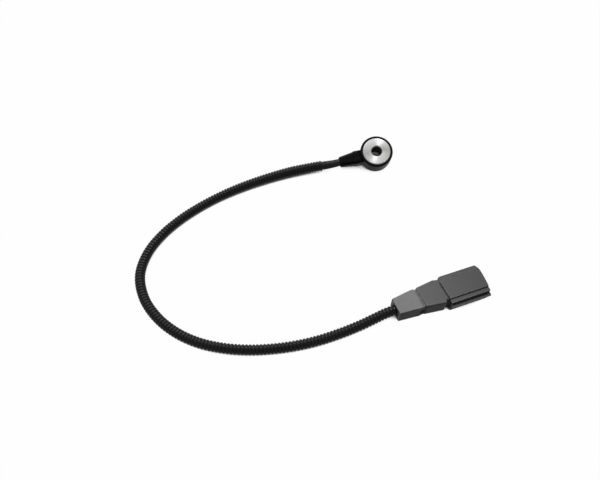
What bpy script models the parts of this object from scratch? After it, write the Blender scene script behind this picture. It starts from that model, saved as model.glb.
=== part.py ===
"""Engine knock sensor on a corrugated lead with a plug-in connector.

A washer-type piezo sensor head, a lead in corrugated conduit and a three-way connector lie on
a surface at Z = 0, as they come to rest. Units are metres, +Z is up. The head's tail runs
along X, and the origin is the bottom centre of the head's bounding box.
"""

import math

import bmesh
import bpy
from mathutils import Matrix, Vector

# Clearances
FIT_GAP = 0.0003
STACK_GAP = 0.0001
SMALL_GAP = 0.00015

# Metal sleeve of the head
BORE_DIAMETER = 0.0084
SLEEVE_WALL = 0.0018
FLANGE_THICKNESS = 0.0016
SLEEVE_STANDOUT = 0.0009
BORE_CHAMFER = 0.0005
FACE_EDGE_CHAMFER = 0.0003

# Stack of rings round the sleeve
TUBE_WALL = 0.0005
INSULATOR_THICKNESS = 0.0004
CONTACT_THICKNESS = 0.0003
PIEZO_THICKNESS = 0.0020
MASS_THICKNESS = 0.0028
MASS_WIDTH = 0.0031
SPRING_THICKNESS = 0.0004
SPRING_RISE = 0.0003
NUT_THICKNESS = 0.0017
NUT_RIM = 0.0028
NUT_SLOT_WIDTH = 0.0016
NUT_SLOT_DEPTH = 0.0009
NUT_SLOTS = 4
PIEZO_INSET = 0.0010
INSULATOR_INSET = 0.0006
STACK_SIDE_GAP = 0.0005

# Black moulding of the head
FLANGE_SEAT = 0.0006
RIM_WIDTH = 0.00175
RIM_DROP = 0.0003
BACK_WALL = 0.0011
BACK_CHAMFER = 0.0014
RIM_CHAMFER = 0.0007
TAIL_REACH = 0.0171
TAIL_BLOCK_REACH = 0.0050
TAIL_BLOCK_TAPER = 0.0005
TAIL_DROP = 0.0005
TAIL_END_WALL = 0.0008
TAIL_END_SIDE = 0.0010
TAIL_SPREAD = 0.0023
TAIL_STEP = 0.0004
TAIL_CORNER = 0.0019
TAIL_GROOVE_WIDTH = 0.0017
TAIL_GROOVE_DEPTH = 0.0014

# Contact tabs and the wires in the tail
TAB_WIDTH = 0.0018
TAB_REACH = 0.0048
TAB_OFFSET = 0.0019
TAB_DROP = 0.0021
CORE_DIAMETER = 0.0012
CABLE_HOLD = 0.0085
WIRE_SLOT_SIDE = 0.0008

# Pose of the head on the surface
HEAD_SLOPE = math.radians(5.3)
HEAD_ROLL = math.radians(25.0)
HEAD_TURN = math.radians(1.2)

# Lead
CONDUIT_DIAMETER = 0.0070
CONDUIT_MOUTH_DIAMETER = 0.0082
CONDUIT_SWELL_DIAMETER = 0.0084
SWELL_PEAK = 0.0250
SWELL_END = 0.0900
JACKET_DIAMETER = 0.0057
JACKET_MOUTH_DIAMETER = 0.0066
BARE_JACKET_LENGTH = 0.0140
POINT_SPACING = 0.0145
CONDUIT_HOLD = 0.0047
BEND_AFTER_EXIT = 0.0060

# Rear cover of the connector
COVER_LENGTH = 0.0168
COVER_END_WALL = 0.0012
COVER_END_SIDE = 0.0023
COVER_END_OFFSET = 0.0001
COVER_WALL = 0.0010
COVER_CORNER = 0.0007
COVER_EDGE_LENGTH = 0.0026
COVER_EDGE_DROP = 0.00035

# Connector housing
BODY_LENGTH = 0.0155
BODY_REAR_WIDTH = 0.0157
BODY_FRONT_WIDTH = 0.0190
BODY_OFFSET = 0.0006
BODY_REAR_HEIGHT = 0.0104
BODY_FRONT_HEIGHT = 0.0100
BODY_CORNER = 0.0009
GROOVE_WIDTH = 0.0006
GROOVE_DEPTH = 0.0003
SPIGOT_LENGTH = 0.0050
SNAP_LENGTH = 0.0030
SNAP_HEIGHT = 0.0019
SNAP_STANDOUT = 0.0006
SNAP_DROP = 0.0012
SNAP_SETBACK = 0.0004
NECK_LENGTH = 0.0029
NECK_NEAR_INSET = 0.0019
NECK_FAR_INSET = 0.0005
NECK_FALL = 0.0008
SHROUD_LENGTH = 0.0288
SHROUD_HEIGHT = 0.0110
PANEL_WIDTH = 0.0148
RAIL_WIDTH = 0.0030
RAIL_DROP = 0.00105
EDGE_WIDTH = 0.0024
EDGE_LEVEL = 0.0020
EDGE_THICKNESS = 0.0008
SHOULDER_START = 0.0062
SHOULDER_WIDTH = 0.0020
SHOULDER_DROP = 0.0006
FAR_REACH = 0.0116
FAR_LEVEL = 0.0034
BOTTOM_CORNER = 0.0009
SHROUD_WALL = 0.00125
SOCKET_DEPTH = 0.0190
FAR_SLOT_TOP = 0.0024
REAR_ROUND = 0.0032
FRONT_ROUND = 0.0012
RAIL_ROUND = 0.0010

# Terminals, seals and lock
TERMINAL_PITCH = 0.0036
SEAL_BORE = 0.0029
SEAL_LENGTH = 0.0042
SEAL_SETBACK = 0.0006
BARREL_WALL = 0.0003
BARREL_LENGTH = 0.0042
CHANNEL_WIDTH = 0.0027
CHANNEL_HEIGHT = 0.0019
BLADE_WIDTH = 0.0020
BLADE_THICKNESS = 0.0006
BLADE_REACH = 0.0100
BLADE_TIP = 0.0009
LOCK_LENGTH = 0.0028
LOCK_SETBACK = 0.0032
LOCK_RECESS = 0.0003

# Place of the connector on the surface
CONNECTOR_X = -0.0177
CONNECTOR_Y = -0.1391
CONNECTOR_YAW = math.radians(9.1)

# Route of the lead between the head's tail and the connector, chosen by hand
ROUTE = [
    (-0.0413, 0.0003, 0.0052),
    (-0.0509, 0.0002, 0.0046),
    (-0.0610, -0.0005, 0.0043),
    (-0.0797, -0.0037, 0.0041),
    (-0.0984, -0.0082, 0.0039),
    (-0.1165, -0.0143, 0.0037),
    (-0.1336, -0.0222, 0.0035),
    (-0.1495, -0.0320, 0.0035),
    (-0.1636, -0.0440, 0.0035),
    (-0.1749, -0.0590, 0.0035),
    (-0.1808, -0.0770, 0.0035),
    (-0.1786, -0.0966, 0.0035),
    (-0.1705, -0.1135, 0.0035),
    (-0.1592, -0.1268, 0.0035),
    (-0.1462, -0.1365, 0.0035),
    (-0.1321, -0.1431, 0.0035),
    (-0.1176, -0.1474, 0.0035),
    (-0.1029, -0.1498, 0.0035),
    (-0.0879, -0.1507, 0.0035),
    (-0.0729, -0.1501, 0.0035),
    (-0.0575, -0.1479, 0.0036),
    (-0.0420, -0.1447, 0.0041),
]

RING_SIDES = 64
INNER_SIDES = 40
SMALL_SIDES = 16
CORNER_STEPS = 3

# Sizes that follow in the head
sleeve_radius = BORE_DIAMETER / 2 + SLEEVE_WALL
tube_radius = sleeve_radius + SMALL_GAP + TUBE_WALL
ring_hole_radius = tube_radius + SMALL_GAP
mass_radius = ring_hole_radius + MASS_WIDTH
piezo_radius = mass_radius - PIEZO_INSET
insulator_radius = mass_radius - INSULATOR_INSET
cavity_radius = mass_radius + STACK_SIDE_GAP
flange_radius = cavity_radius + FLANGE_SEAT
rim_radius = flange_radius + SMALL_GAP
housing_radius = rim_radius + RIM_WIDTH
core_radius = CORE_DIAMETER / 2
jacket_radius = JACKET_DIAMETER / 2
conduit_radius = CONDUIT_DIAMETER / 2


def stack_levels():
    """The front level of each ring of the stack, counted down from the contact face."""
    thicknesses = [
        ("front_insulator", INSULATOR_THICKNESS),
        ("front_contact", CONTACT_THICKNESS),
        ("piezo_ring", PIEZO_THICKNESS),
        ("rear_contact", CONTACT_THICKNESS),
        ("rear_insulator", INSULATOR_THICKNESS),
        ("seismic_mass", MASS_THICKNESS),
        ("disc_spring", SPRING_THICKNESS + SPRING_RISE),
        ("retaining_nut", NUT_THICKNESS),
    ]
    levels = {}
    level = -FLANGE_THICKNESS
    for name, thickness in thicknesses:
        level -= STACK_GAP
        levels[name] = level
        level -= thickness
    levels["end"] = level
    return levels


level_of = stack_levels()
cavity_floor = level_of["end"] - FIT_GAP
housing_back = cavity_floor - BACK_WALL
sleeve_end = housing_back - SLEEVE_STANDOUT
tail_level = (housing_back - RIM_DROP) / 2 - TAIL_DROP
tail_end = -(housing_radius + TAIL_REACH)
tail_shoulder = -(housing_radius + TAIL_BLOCK_REACH)
jacket_hole_radius = jacket_radius + SMALL_GAP
tail_end_width = 2 * (jacket_hole_radius + TAIL_END_SIDE)
tail_end_height = 2 * (jacket_hole_radius + TAIL_END_WALL)
jacket_start = tail_end + CABLE_HOLD

# Sizes that follow in the connector, whose own axis runs through Y = 0 and Z = 0
conduit_hole_radius = conduit_radius + FIT_GAP
cover_end_height = 2 * (conduit_hole_radius + COVER_END_WALL)
cover_end_width = 2 * (conduit_hole_radius + COVER_END_SIDE)
body_start = COVER_LENGTH + FIT_GAP
body_end = body_start + BODY_LENGTH
neck_end = body_end + NECK_LENGTH
shroud_end = neck_end + SHROUD_LENGTH
socket_floor = shroud_end - SOCKET_DEPTH
spigot_start = body_start - SPIGOT_LENGTH
snap_x = COVER_LENGTH - SNAP_SETBACK
seal_bore_radius = SEAL_BORE / 2
seal_start = spigot_start + SEAL_SETBACK
seal_end = seal_start + SEAL_LENGTH
barrel_start = seal_end + FIT_GAP
barrel_radius = core_radius + SMALL_GAP + BARREL_WALL
barrel_end = barrel_start + BARREL_LENGTH
lock_end = socket_floor - LOCK_SETBACK
lock_start = lock_end - LOCK_LENGTH
channel_bottom = -CHANNEL_HEIGHT / 2
terminal_lanes = [
    ("signal", TERMINAL_PITCH),
    ("ground", 0.0),
    ("shield", -TERMINAL_PITCH),
]


def material(name, color, roughness, metallic=0.0):
    """A plain Principled material."""
    made = bpy.data.materials.new(name)
    made.use_nodes = True
    shader = made.node_tree.nodes["Principled BSDF"]
    shader.inputs["Base Color"].default_value = (*color, 1.0)
    shader.inputs["Roughness"].default_value = roughness
    shader.inputs["Metallic"].default_value = metallic
    made.diffuse_color = (*color, 1.0)
    return made


def named_object(name, mesh, finish, parent):
    """Links an object and gives it its material and its parent."""
    made = bpy.data.objects.new(name, mesh)
    if finish is not None:
        mesh.materials.append(finish)
    bpy.context.scene.collection.objects.link(made)
    made.parent = parent
    return made


def object_from(name, shape, finish=None, parent=None, smooth=True):
    """An object from a bmesh, with its faces turned outwards and its round parts shaded smooth."""
    bmesh.ops.remove_doubles(shape, verts=shape.verts, dist=1e-7)
    bmesh.ops.recalc_face_normals(shape, faces=shape.faces)
    mesh = bpy.data.meshes.new(name)
    shape.to_mesh(mesh)
    shape.free()
    if smooth:
        mesh.shade_smooth()
        mesh.set_sharp_from_angle(angle=math.radians(30))
    return named_object(name, mesh, finish, parent)


def turned(profile, sides):
    """A ring turned round Z from a closed outline of (radius, height) points."""
    shape = bmesh.new()
    points = [shape.verts.new((radius, 0, height)) for radius, height in profile]
    count = len(points)
    edges = [shape.edges.new((points[i], points[(i + 1) % count])) for i in range(count)]
    bmesh.ops.spin(
        shape,
        geom=points + edges,
        cent=(0, 0, 0),
        axis=(0, 0, 1),
        angle=math.tau,
        steps=sides,
        use_merge=True,
        use_duplicate=False,
    )
    return shape


def ring_profile(inner, outer, top, thickness):
    """The outline of a flat ring that reaches down from its top."""
    bottom = top - thickness
    return [(inner, top), (outer, top), (outer, bottom), (inner, bottom)]


def lofted(sections):
    """A closed solid through outlines that have the same number of points."""
    shape = bmesh.new()
    rings = [[shape.verts.new(point) for point in section] for section in sections]
    count = len(rings[0])
    for near, far in zip(rings, rings[1:]):
        for i in range(count):
            j = (i + 1) % count
            shape.faces.new((near[i], near[j], far[j], far[i]))
    shape.faces.new(rings[0])
    shape.faces.new(rings[-1])
    return shape


def rounded_outline(x, width, height, corner, center=(0.0, 0.0), steps=CORNER_STEPS):
    """The points of a rounded rectangle across X, round its centre in Y and Z."""
    corner = min(corner, width * 0.49, height * 0.49)
    points = []
    for quarter in range(4):
        middle = math.tau * (quarter + 0.5) / 4
        side_y = math.copysign(1, math.cos(middle))
        side_z = math.copysign(1, math.sin(middle))
        arc_y = center[0] + side_y * (width / 2 - corner)
        arc_z = center[1] + side_z * (height / 2 - corner)
        for step in range(steps + 1):
            angle = math.tau * (quarter + step / steps) / 4
            points.append((x, arc_y + corner * math.cos(angle), arc_z + corner * math.sin(angle)))
    return points


def along_x(outline, start, end):
    """A straight solid whose outline of (y, z) points runs along X."""
    return lofted([[(x, y, z) for y, z in outline] for x in (start, end)])


def round_bar(start, end, radius, sides, center=(0.0, 0.0)):
    """A round bar along X."""
    outline = [
        (
            center[0] + radius * math.cos(math.tau * i / sides),
            center[1] + radius * math.sin(math.tau * i / sides),
        )
        for i in range(sides)
    ]
    return along_x(outline, start, end)


def block(low, high):
    """A box between two corners."""
    outline = [(low[1], low[2]), (high[1], low[2]), (high[1], high[2]), (low[1], high[2])]
    return along_x(outline, low[0], high[0])


def combine(target, tool, operation):
    """Cuts the tool from the target or joins it on, and leaves the tool as a helper."""
    tool.hide_render = True
    tool.display_type = "WIRE"
    step = target.modifiers.new(f"{operation.lower()}_{tool.name}", "BOOLEAN")
    step.operation = operation
    step.solver = "EXACT"
    step.object = tool


def cut(target, name, shape):
    """Cuts a shape out of the target."""
    combine(target, object_from(name, shape, parent=target.parent), "DIFFERENCE")


def join(target, name, shape):
    """Joins a shape to the target."""
    combine(target, object_from(name, shape, parent=target.parent), "UNION")


def make_sleeve(parent, steel):
    """The turned steel bush: the contact flange in front, the bolt seat behind."""
    bore = BORE_DIAMETER / 2
    groove = sleeve_radius - SLEEVE_WALL * 0.12
    profile = [
        (bore + BORE_CHAMFER, 0),
        (flange_radius - FACE_EDGE_CHAMFER, 0),
        (flange_radius, -FACE_EDGE_CHAMFER),
        (flange_radius, -FLANGE_THICKNESS),
        (sleeve_radius, -FLANGE_THICKNESS),
        (sleeve_radius, housing_back + BACK_WALL * 0.75),
        (groove, housing_back + BACK_WALL * 0.6),
        (groove, housing_back + BACK_WALL * 0.4),
        (sleeve_radius, housing_back + BACK_WALL * 0.25),
        (sleeve_radius, sleeve_end + FACE_EDGE_CHAMFER),
        (sleeve_radius - FACE_EDGE_CHAMFER, sleeve_end),
        (bore + BORE_CHAMFER, sleeve_end),
        (bore, sleeve_end + BORE_CHAMFER),
        (bore, -BORE_CHAMFER),
    ]
    object_from("mounting_sleeve", turned(profile, RING_SIDES), steel, parent)


def make_plain_rings(parent, finishes):
    """The insulators, the ceramic ring, the tube and the mass."""
    rings = [
        ("front_insulator", insulator_radius, INSULATOR_THICKNESS, "film"),
        ("piezo_ring", piezo_radius, PIEZO_THICKNESS, "ceramic"),
        ("rear_insulator", insulator_radius, INSULATOR_THICKNESS, "film"),
    ]
    for name, outer, thickness, finish in rings:
        profile = ring_profile(ring_hole_radius, outer, level_of[name], thickness)
        object_from(name, turned(profile, INNER_SIDES), finishes[finish], parent)
    tube_top = -FLANGE_THICKNESS - STACK_GAP
    tube_end = level_of["disc_spring"] + STACK_GAP
    profile = ring_profile(sleeve_radius + SMALL_GAP, tube_radius, tube_top, tube_top - tube_end)
    object_from("insulating_tube", turned(profile, INNER_SIDES), finishes["film"], parent)


def make_mass(parent, steel):
    """The seismic mass, with its edges broken."""
    edge = MASS_THICKNESS * 0.12
    top = level_of["seismic_mass"]
    bottom = top - MASS_THICKNESS
    profile = [
        (ring_hole_radius, top),
        (mass_radius - edge, top),
        (mass_radius, top - edge),
        (mass_radius, bottom + edge),
        (mass_radius - edge, bottom),
        (ring_hole_radius, bottom),
    ]
    object_from("seismic_mass", turned(profile, INNER_SIDES), steel, parent)


def make_contact(name, side, drop, parent, brass):
    """A contact disc with a tab that steps into the tail's wire slot."""
    top = level_of[name]
    bottom = top - CONTACT_THICKNESS
    disc = object_from(
        name,
        turned(ring_profile(ring_hole_radius, piezo_radius, top, CONTACT_THICKNESS), INNER_SIDES),
        brass,
        parent,
    )
    bend = -(piezo_radius + CONTACT_THICKNESS + FIT_GAP)
    inside = bend + CONTACT_THICKNESS
    root = -(piezo_radius - CONTACT_THICKNESS)
    tip = -(piezo_radius + TAB_REACH)
    low_top = top - drop
    outline = [(root, top), (bend, top), (bend, low_top), (tip, low_top)]
    outline += [(tip, low_top - CONTACT_THICKNESS), (inside, low_top - CONTACT_THICKNESS)]
    outline += [(inside, bottom), (root, bottom)]
    if drop == 0:
        outline = [(root, top), (tip, top), (tip, bottom), (root, bottom)]
    near = side * TAB_OFFSET - TAB_WIDTH / 2
    sections = [[(x, y, z) for x, z in outline] for y in (near, near + TAB_WIDTH)]
    join(disc, f"{name}_tab", lofted(sections))
    return Vector((tip, side * TAB_OFFSET, low_top - CONTACT_THICKNESS / 2))


def make_spring(parent, steel):
    """The conical spring washer between the mass and the nut."""
    top = level_of["disc_spring"]
    inner = sleeve_radius + SMALL_GAP
    outer = sleeve_radius + NUT_RIM
    profile = [
        (inner, top - SPRING_RISE),
        (outer, top),
        (outer, top - SPRING_THICKNESS),
        (inner, top - SPRING_RISE - SPRING_THICKNESS),
    ]
    object_from("disc_spring", turned(profile, INNER_SIDES), steel, parent)


def make_nut(parent, steel):
    """The ring nut, with slots for its key."""
    top = level_of["retaining_nut"]
    bottom = top - NUT_THICKNESS
    outer = sleeve_radius + NUT_RIM
    profile = ring_profile(sleeve_radius + SMALL_GAP, outer, top, NUT_THICKNESS)
    nut = object_from("retaining_nut", turned(profile, INNER_SIDES), steel, parent)
    for index in range(NUT_SLOTS):
        low = (outer - NUT_SLOT_DEPTH, -NUT_SLOT_WIDTH / 2, bottom - FIT_GAP)
        high = (outer + FIT_GAP, NUT_SLOT_WIDTH / 2, top + FIT_GAP)
        slot = block(low, high)
        turn = Matrix.Rotation(math.tau * (index + 0.5) / NUT_SLOTS, 4, "Z")
        bmesh.ops.transform(slot, matrix=turn, verts=slot.verts)
        cut(nut, f"nut_slot_{index}", slot)


def tail_outline(x, width, height):
    """A chamfered section of the tail, round the level of its axis."""
    corner = min(TAIL_CORNER, width * 0.45, height * 0.45)
    half_width = width / 2
    half_height = height / 2
    quarter = [(half_width, half_height - corner), (half_width - corner, half_height)]
    points = quarter + [(-y, z) for y, z in reversed(quarter)]
    points += [(-y, -z) for y, z in quarter] + [(y, -z) for y, z in reversed(quarter)]
    return [(x, y, tail_level + z) for y, z in points]


def make_housing(parent, black, wire_top, wire_bottom):
    """The black moulding: a ring round the stack, and the tail that holds the cable."""
    rim = -RIM_DROP
    flange_ledge = -FLANGE_THICKNESS - STACK_GAP
    profile = [
        (rim_radius, rim),
        (housing_radius - RIM_CHAMFER, rim),
        (housing_radius, rim - RIM_CHAMFER),
        (housing_radius, housing_back + BACK_CHAMFER),
        (housing_radius - BACK_CHAMFER, housing_back),
        (sleeve_radius + SMALL_GAP, housing_back),
        (sleeve_radius + SMALL_GAP, cavity_floor),
        (cavity_radius, cavity_floor),
        (cavity_radius, flange_ledge),
        (rim_radius, flange_ledge),
    ]
    housing = object_from("sensor_housing", turned(profile, RING_SIDES), black, parent)

    root = -(cavity_radius + (housing_radius - cavity_radius) * 0.5)
    wide = tail_end_width + TAIL_SPREAD
    tall = tail_end_height + TAIL_SPREAD
    step = 2 * TAIL_STEP
    end_bevel = TAIL_END_WALL
    sections = [
        tail_outline(root, wide + step - TAIL_BLOCK_TAPER, tall + step),
        tail_outline(tail_shoulder, wide + step, tall + step),
        tail_outline(tail_shoulder - TAIL_STEP, wide, tall),
        tail_outline(tail_end + end_bevel, tail_end_width, tail_end_height),
        tail_outline(tail_end, tail_end_width - end_bevel, tail_end_height - end_bevel),
    ]
    join(housing, "tail_block", lofted(sections))

    groove_outer = housing_radius + TAIL_GROOVE_WIDTH
    tail_top = tail_level + (tall + step) / 2
    groove_floor = tail_top - TAIL_GROOVE_DEPTH
    groove = ring_profile(
        housing_radius, groove_outer, tail_top + FIT_GAP, tail_top + FIT_GAP - groove_floor
    )
    cut(housing, "tail_groove", turned(groove, RING_SIDES))

    hole = round_bar(
        tail_end - FIT_GAP, jacket_start + FIT_GAP, jacket_hole_radius, 24, (0, tail_level)
    )
    cut(housing, "jacket_hole", hole)
    slot_half = TAB_OFFSET + TAB_WIDTH / 2 + WIRE_SLOT_SIDE - FIT_GAP
    slot = block(
        (jacket_start - FIT_GAP, -slot_half, wire_bottom - FIT_GAP),
        (-(cavity_radius - FIT_GAP), slot_half, wire_top + FIT_GAP),
    )
    cut(housing, "wire_slot", slot)


def smooth_path(points, spacing):
    """Points at an even spacing on one smooth curve through the given points."""
    points = [Vector(p) for p in points]
    first = points[0] * 2 - points[1]
    last = points[-1] * 2 - points[-2]
    padded = [first, *points, last]
    fine = []
    for a, b, c, d in zip(padded, padded[1:], padded[2:], padded[3:]):
        knots = [0.0]
        for start, end in ((a, b), (b, c), (c, d)):
            knots.append(knots[-1] + math.sqrt((end - start).length))
        for step in range(12):
            fine.append(spline_point((a, b, c, d), knots, step / 12))
    fine.append(points[-1])
    lengths = [0.0]
    for start, end in zip(fine, fine[1:]):
        lengths.append(lengths[-1] + (end - start).length)
    count = max(2, round(lengths[-1] / spacing))
    return [point_at(fine, lengths, lengths[-1] * i / count) for i in range(count + 1)]


def spline_point(corners, knots, share):
    """A point of a centripetal curve between its second and third corners."""
    at = knots[1] + (knots[2] - knots[1]) * share
    level = list(corners)
    for spans in (((0, 1), (1, 2), (2, 3)), ((0, 2), (1, 3)), ((1, 2),)):
        level = [
            start.lerp(end, (at - knots[i]) / (knots[j] - knots[i]))
            for start, end, (i, j) in zip(level, level[1:], spans)
        ]
    return level[0]


def point_at(points, lengths, distance):
    """The point at a distance along a chain of points."""
    for index in range(1, len(points)):
        if lengths[index] >= distance or index == len(points) - 1:
            span = lengths[index] - lengths[index - 1]
            share = (distance - lengths[index - 1]) / span
            return points[index - 1].lerp(points[index], min(1.0, share))
    return points[-1]


def tube(name, points, radii, finish, parent=None, resolution=2):
    """A filled tube along a chain of points, with its own radius at each."""
    curve = bpy.data.curves.new(name, "CURVE")
    curve.dimensions = "3D"
    curve.bevel_depth = max(radii)
    curve.bevel_resolution = resolution
    curve.use_fill_caps = True
    spline = curve.splines.new("POLY")
    spline.points.add(len(points) - 1)
    for index, (place, radius) in enumerate(zip(points, radii)):
        spline.points[index].co = (*place, 1.0)
        spline.points[index].radius = radius / max(radii)
    return named_object(name, curve, finish, parent)


def make_head_wires(tabs, parent, finishes):
    """The two cores between the contact tabs and the end of the cable's jacket."""
    for name, tip in tabs.items():
        start = tip - Vector((FIT_GAP, 0, 0))
        end = Vector((jacket_start + FIT_GAP, tip.y * 0.6, tail_level))
        middle = start.lerp(end, 0.5)
        before = Vector((start.x - core_radius, start.y, start.z))
        after = Vector((end.x + core_radius, end.y, end.z))
        points = [start, before, middle, after, end]
        radii = [core_radius] * len(points)
        tube(f"{name}_wire_head", points, radii, finishes[name], parent)


def swollen_radius(distance):
    """The conduit's radius at a distance from its mouth, where it is stretched over the cable."""
    peak = CONDUIT_SWELL_DIAMETER / 2
    if distance < SWELL_PEAK:
        mouth = CONDUIT_MOUTH_DIAMETER / 2
        return mouth + (peak - mouth) * distance / SWELL_PEAK
    share = min(1.0, (distance - SWELL_PEAK) / (SWELL_END - SWELL_PEAK))
    return peak + (conduit_radius - peak) * share


def make_lead(head, connector, jacket, conduit):
    """The bare stretch of cable, held in the tail, and the conduit that runs to the connector."""
    def from_head(x):
        return head.matrix_world @ Vector((x, 0, tail_level))

    def from_connector(x):
        return connector.matrix_world @ Vector((x, 0, 0))

    held = from_head(jacket_start)
    exit_point = from_head(tail_end)
    straight = from_head(tail_end - BEND_AFTER_EXIT)
    entry = from_connector(-BEND_AFTER_EXIT)
    inlet = from_connector(0)
    lead_end = from_connector(CONDUIT_HOLD)
    route = [exit_point, straight, *[Vector(p) for p in ROUTE], entry, inlet, lead_end]
    fine = smooth_path(route, 0.001)
    bare = fine[: round(BARE_JACKET_LENGTH / 0.001) + 1]
    jacket_points = [held, *bare[::3], bare[-1]] if len(bare) % 3 != 1 else [held, *bare[::3]]
    count = len(jacket_points)
    grow = JACKET_MOUTH_DIAMETER / 2 - jacket_radius
    radii = [jacket_radius + grow * max(0, i - 1) / (count - 2) for i in range(count)]
    tube("cable_jacket", jacket_points, radii, jacket, resolution=3)
    rest = fine[len(bare) - 1 :]
    rest[0] = rest[0] + (rest[1] - rest[0]).normalized() * FIT_GAP
    points = smooth_path(rest, POINT_SPACING)
    radii = [swollen_radius(POINT_SPACING * i) for i in range(len(points))]
    tube("conduit", points, radii, conduit, resolution=3)


def cover_section(x, inset=0.0):
    """The rear cover's section at a distance from its cable end, drawn in by an inset."""
    share = x / COVER_LENGTH
    width = cover_end_width + (BODY_REAR_WIDTH - cover_end_width) * share
    height = cover_end_height + (BODY_REAR_HEIGHT - cover_end_height) * share
    offset = COVER_END_OFFSET + (BODY_OFFSET - COVER_END_OFFSET) * share
    return rounded_outline(x, width - 2 * inset, height - 2 * inset, COVER_CORNER, (offset, 0))


def make_cover(parent, grey):
    """The cap over the back of the connector: open in front, with a round hole for the conduit."""
    edge_start = COVER_LENGTH - COVER_EDGE_LENGTH
    sections = [
        cover_section(0),
        cover_section(edge_start),
        cover_section(edge_start + COVER_EDGE_LENGTH / 2, COVER_EDGE_DROP / 4),
        cover_section(COVER_LENGTH, COVER_EDGE_DROP),
    ]
    cover = object_from("rear_cover", lofted(sections), grey, parent)
    hole_end = CONDUIT_HOLD + FIT_GAP + COVER_WALL
    cut(cover, "conduit_hole", round_bar(-FIT_GAP, hole_end, conduit_hole_radius, 24))
    hollow = [cover_section(x, COVER_WALL) for x in (hole_end - COVER_WALL / 2, COVER_LENGTH + FIT_GAP)]
    cut(cover, "cover_hollow", lofted(hollow))
    window_height = SNAP_HEIGHT + 2 * FIT_GAP
    window = block(
        (snap_x - SNAP_LENGTH / 2 - FIT_GAP, -BODY_REAR_WIDTH, -SNAP_DROP - window_height / 2),
        (COVER_LENGTH + FIT_GAP, BODY_REAR_WIDTH, -SNAP_DROP + window_height / 2),
    )
    cut(cover, "snap_notches", window)


def shroud_section(x, far_inset=0.0, near_inset=0.0):
    """The shroud's section: a raised panel, two ledges on the near side, a sloping far shoulder."""
    top = SHROUD_HEIGHT / 2
    panel = PANEL_WIDTH / 2
    rail = panel + RAIL_WIDTH
    near_rail = rail - near_inset * RAIL_WIDTH / (RAIL_WIDTH + EDGE_WIDTH)
    near_edge = rail + EDGE_WIDTH - near_inset
    edge_bottom = EDGE_LEVEL - EDGE_THICKNESS
    outline = [(-panel, top), (-panel, top - RAIL_DROP), (-near_rail, top - RAIL_DROP)]
    outline += [(-near_rail, EDGE_LEVEL), (-near_edge, EDGE_LEVEL), (-near_edge, edge_bottom)]
    outline += [(-near_rail, edge_bottom), (-near_rail, -top + BOTTOM_CORNER)]
    outline += [(-near_rail + BOTTOM_CORNER, -top)]
    far_edge = FAR_REACH - far_inset
    shoulder = SHOULDER_START - far_inset / 2
    outline += [(far_edge - BOTTOM_CORNER, -top), (far_edge, -top + BOTTOM_CORNER)]
    outline += [(far_edge, FAR_LEVEL)]
    for across, down in ((1.0, 1.0), (0.55, 0.38), (0.0, 0.0)):
        outline.append((shoulder + SHOULDER_WIDTH * across, top - SHOULDER_DROP * down))
    return [(x, y, z) for y, z in outline]


def shroud_sections():
    """Sections along the shroud, drawn in at its ends so that its corners are round from above."""
    steps = 3
    sections = []
    for step in range(steps + 1):
        angle = math.pi / 2 * step / steps
        x = neck_end + REAR_ROUND * (1 - math.cos(angle))
        sections.append(shroud_section(x, REAR_ROUND * (1 - math.sin(angle))))
    for step in range(steps + 1):
        angle = math.pi / 2 * step / steps
        x = shroud_end - FRONT_ROUND * (1 - math.sin(angle))
        inset = 1 - math.cos(angle)
        sections.append(shroud_section(x, FRONT_ROUND * inset, RAIL_ROUND * inset))
    return sections


def socket_outline():
    """The socket's section: a raised middle, with a lower part to each side of it."""
    top = SHROUD_HEIGHT / 2 - SHROUD_WALL
    middle = PANEL_WIDTH / 2 - SHROUD_WALL
    near_side = PANEL_WIDTH / 2 + RAIL_WIDTH - RAIL_ROUND - SHROUD_WALL
    far_side = FAR_REACH - FRONT_ROUND - SHROUD_WALL
    near_top = SHROUD_HEIGHT / 2 - RAIL_DROP - SHROUD_WALL
    upper = [(middle, top), (-middle, top), (-middle, near_top), (-near_side, near_top)]
    lower = [(-near_side, -top), (far_side, -top)]
    return upper + lower + [(far_side, FAR_SLOT_TOP), (middle, FAR_SLOT_TOP)]


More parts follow.
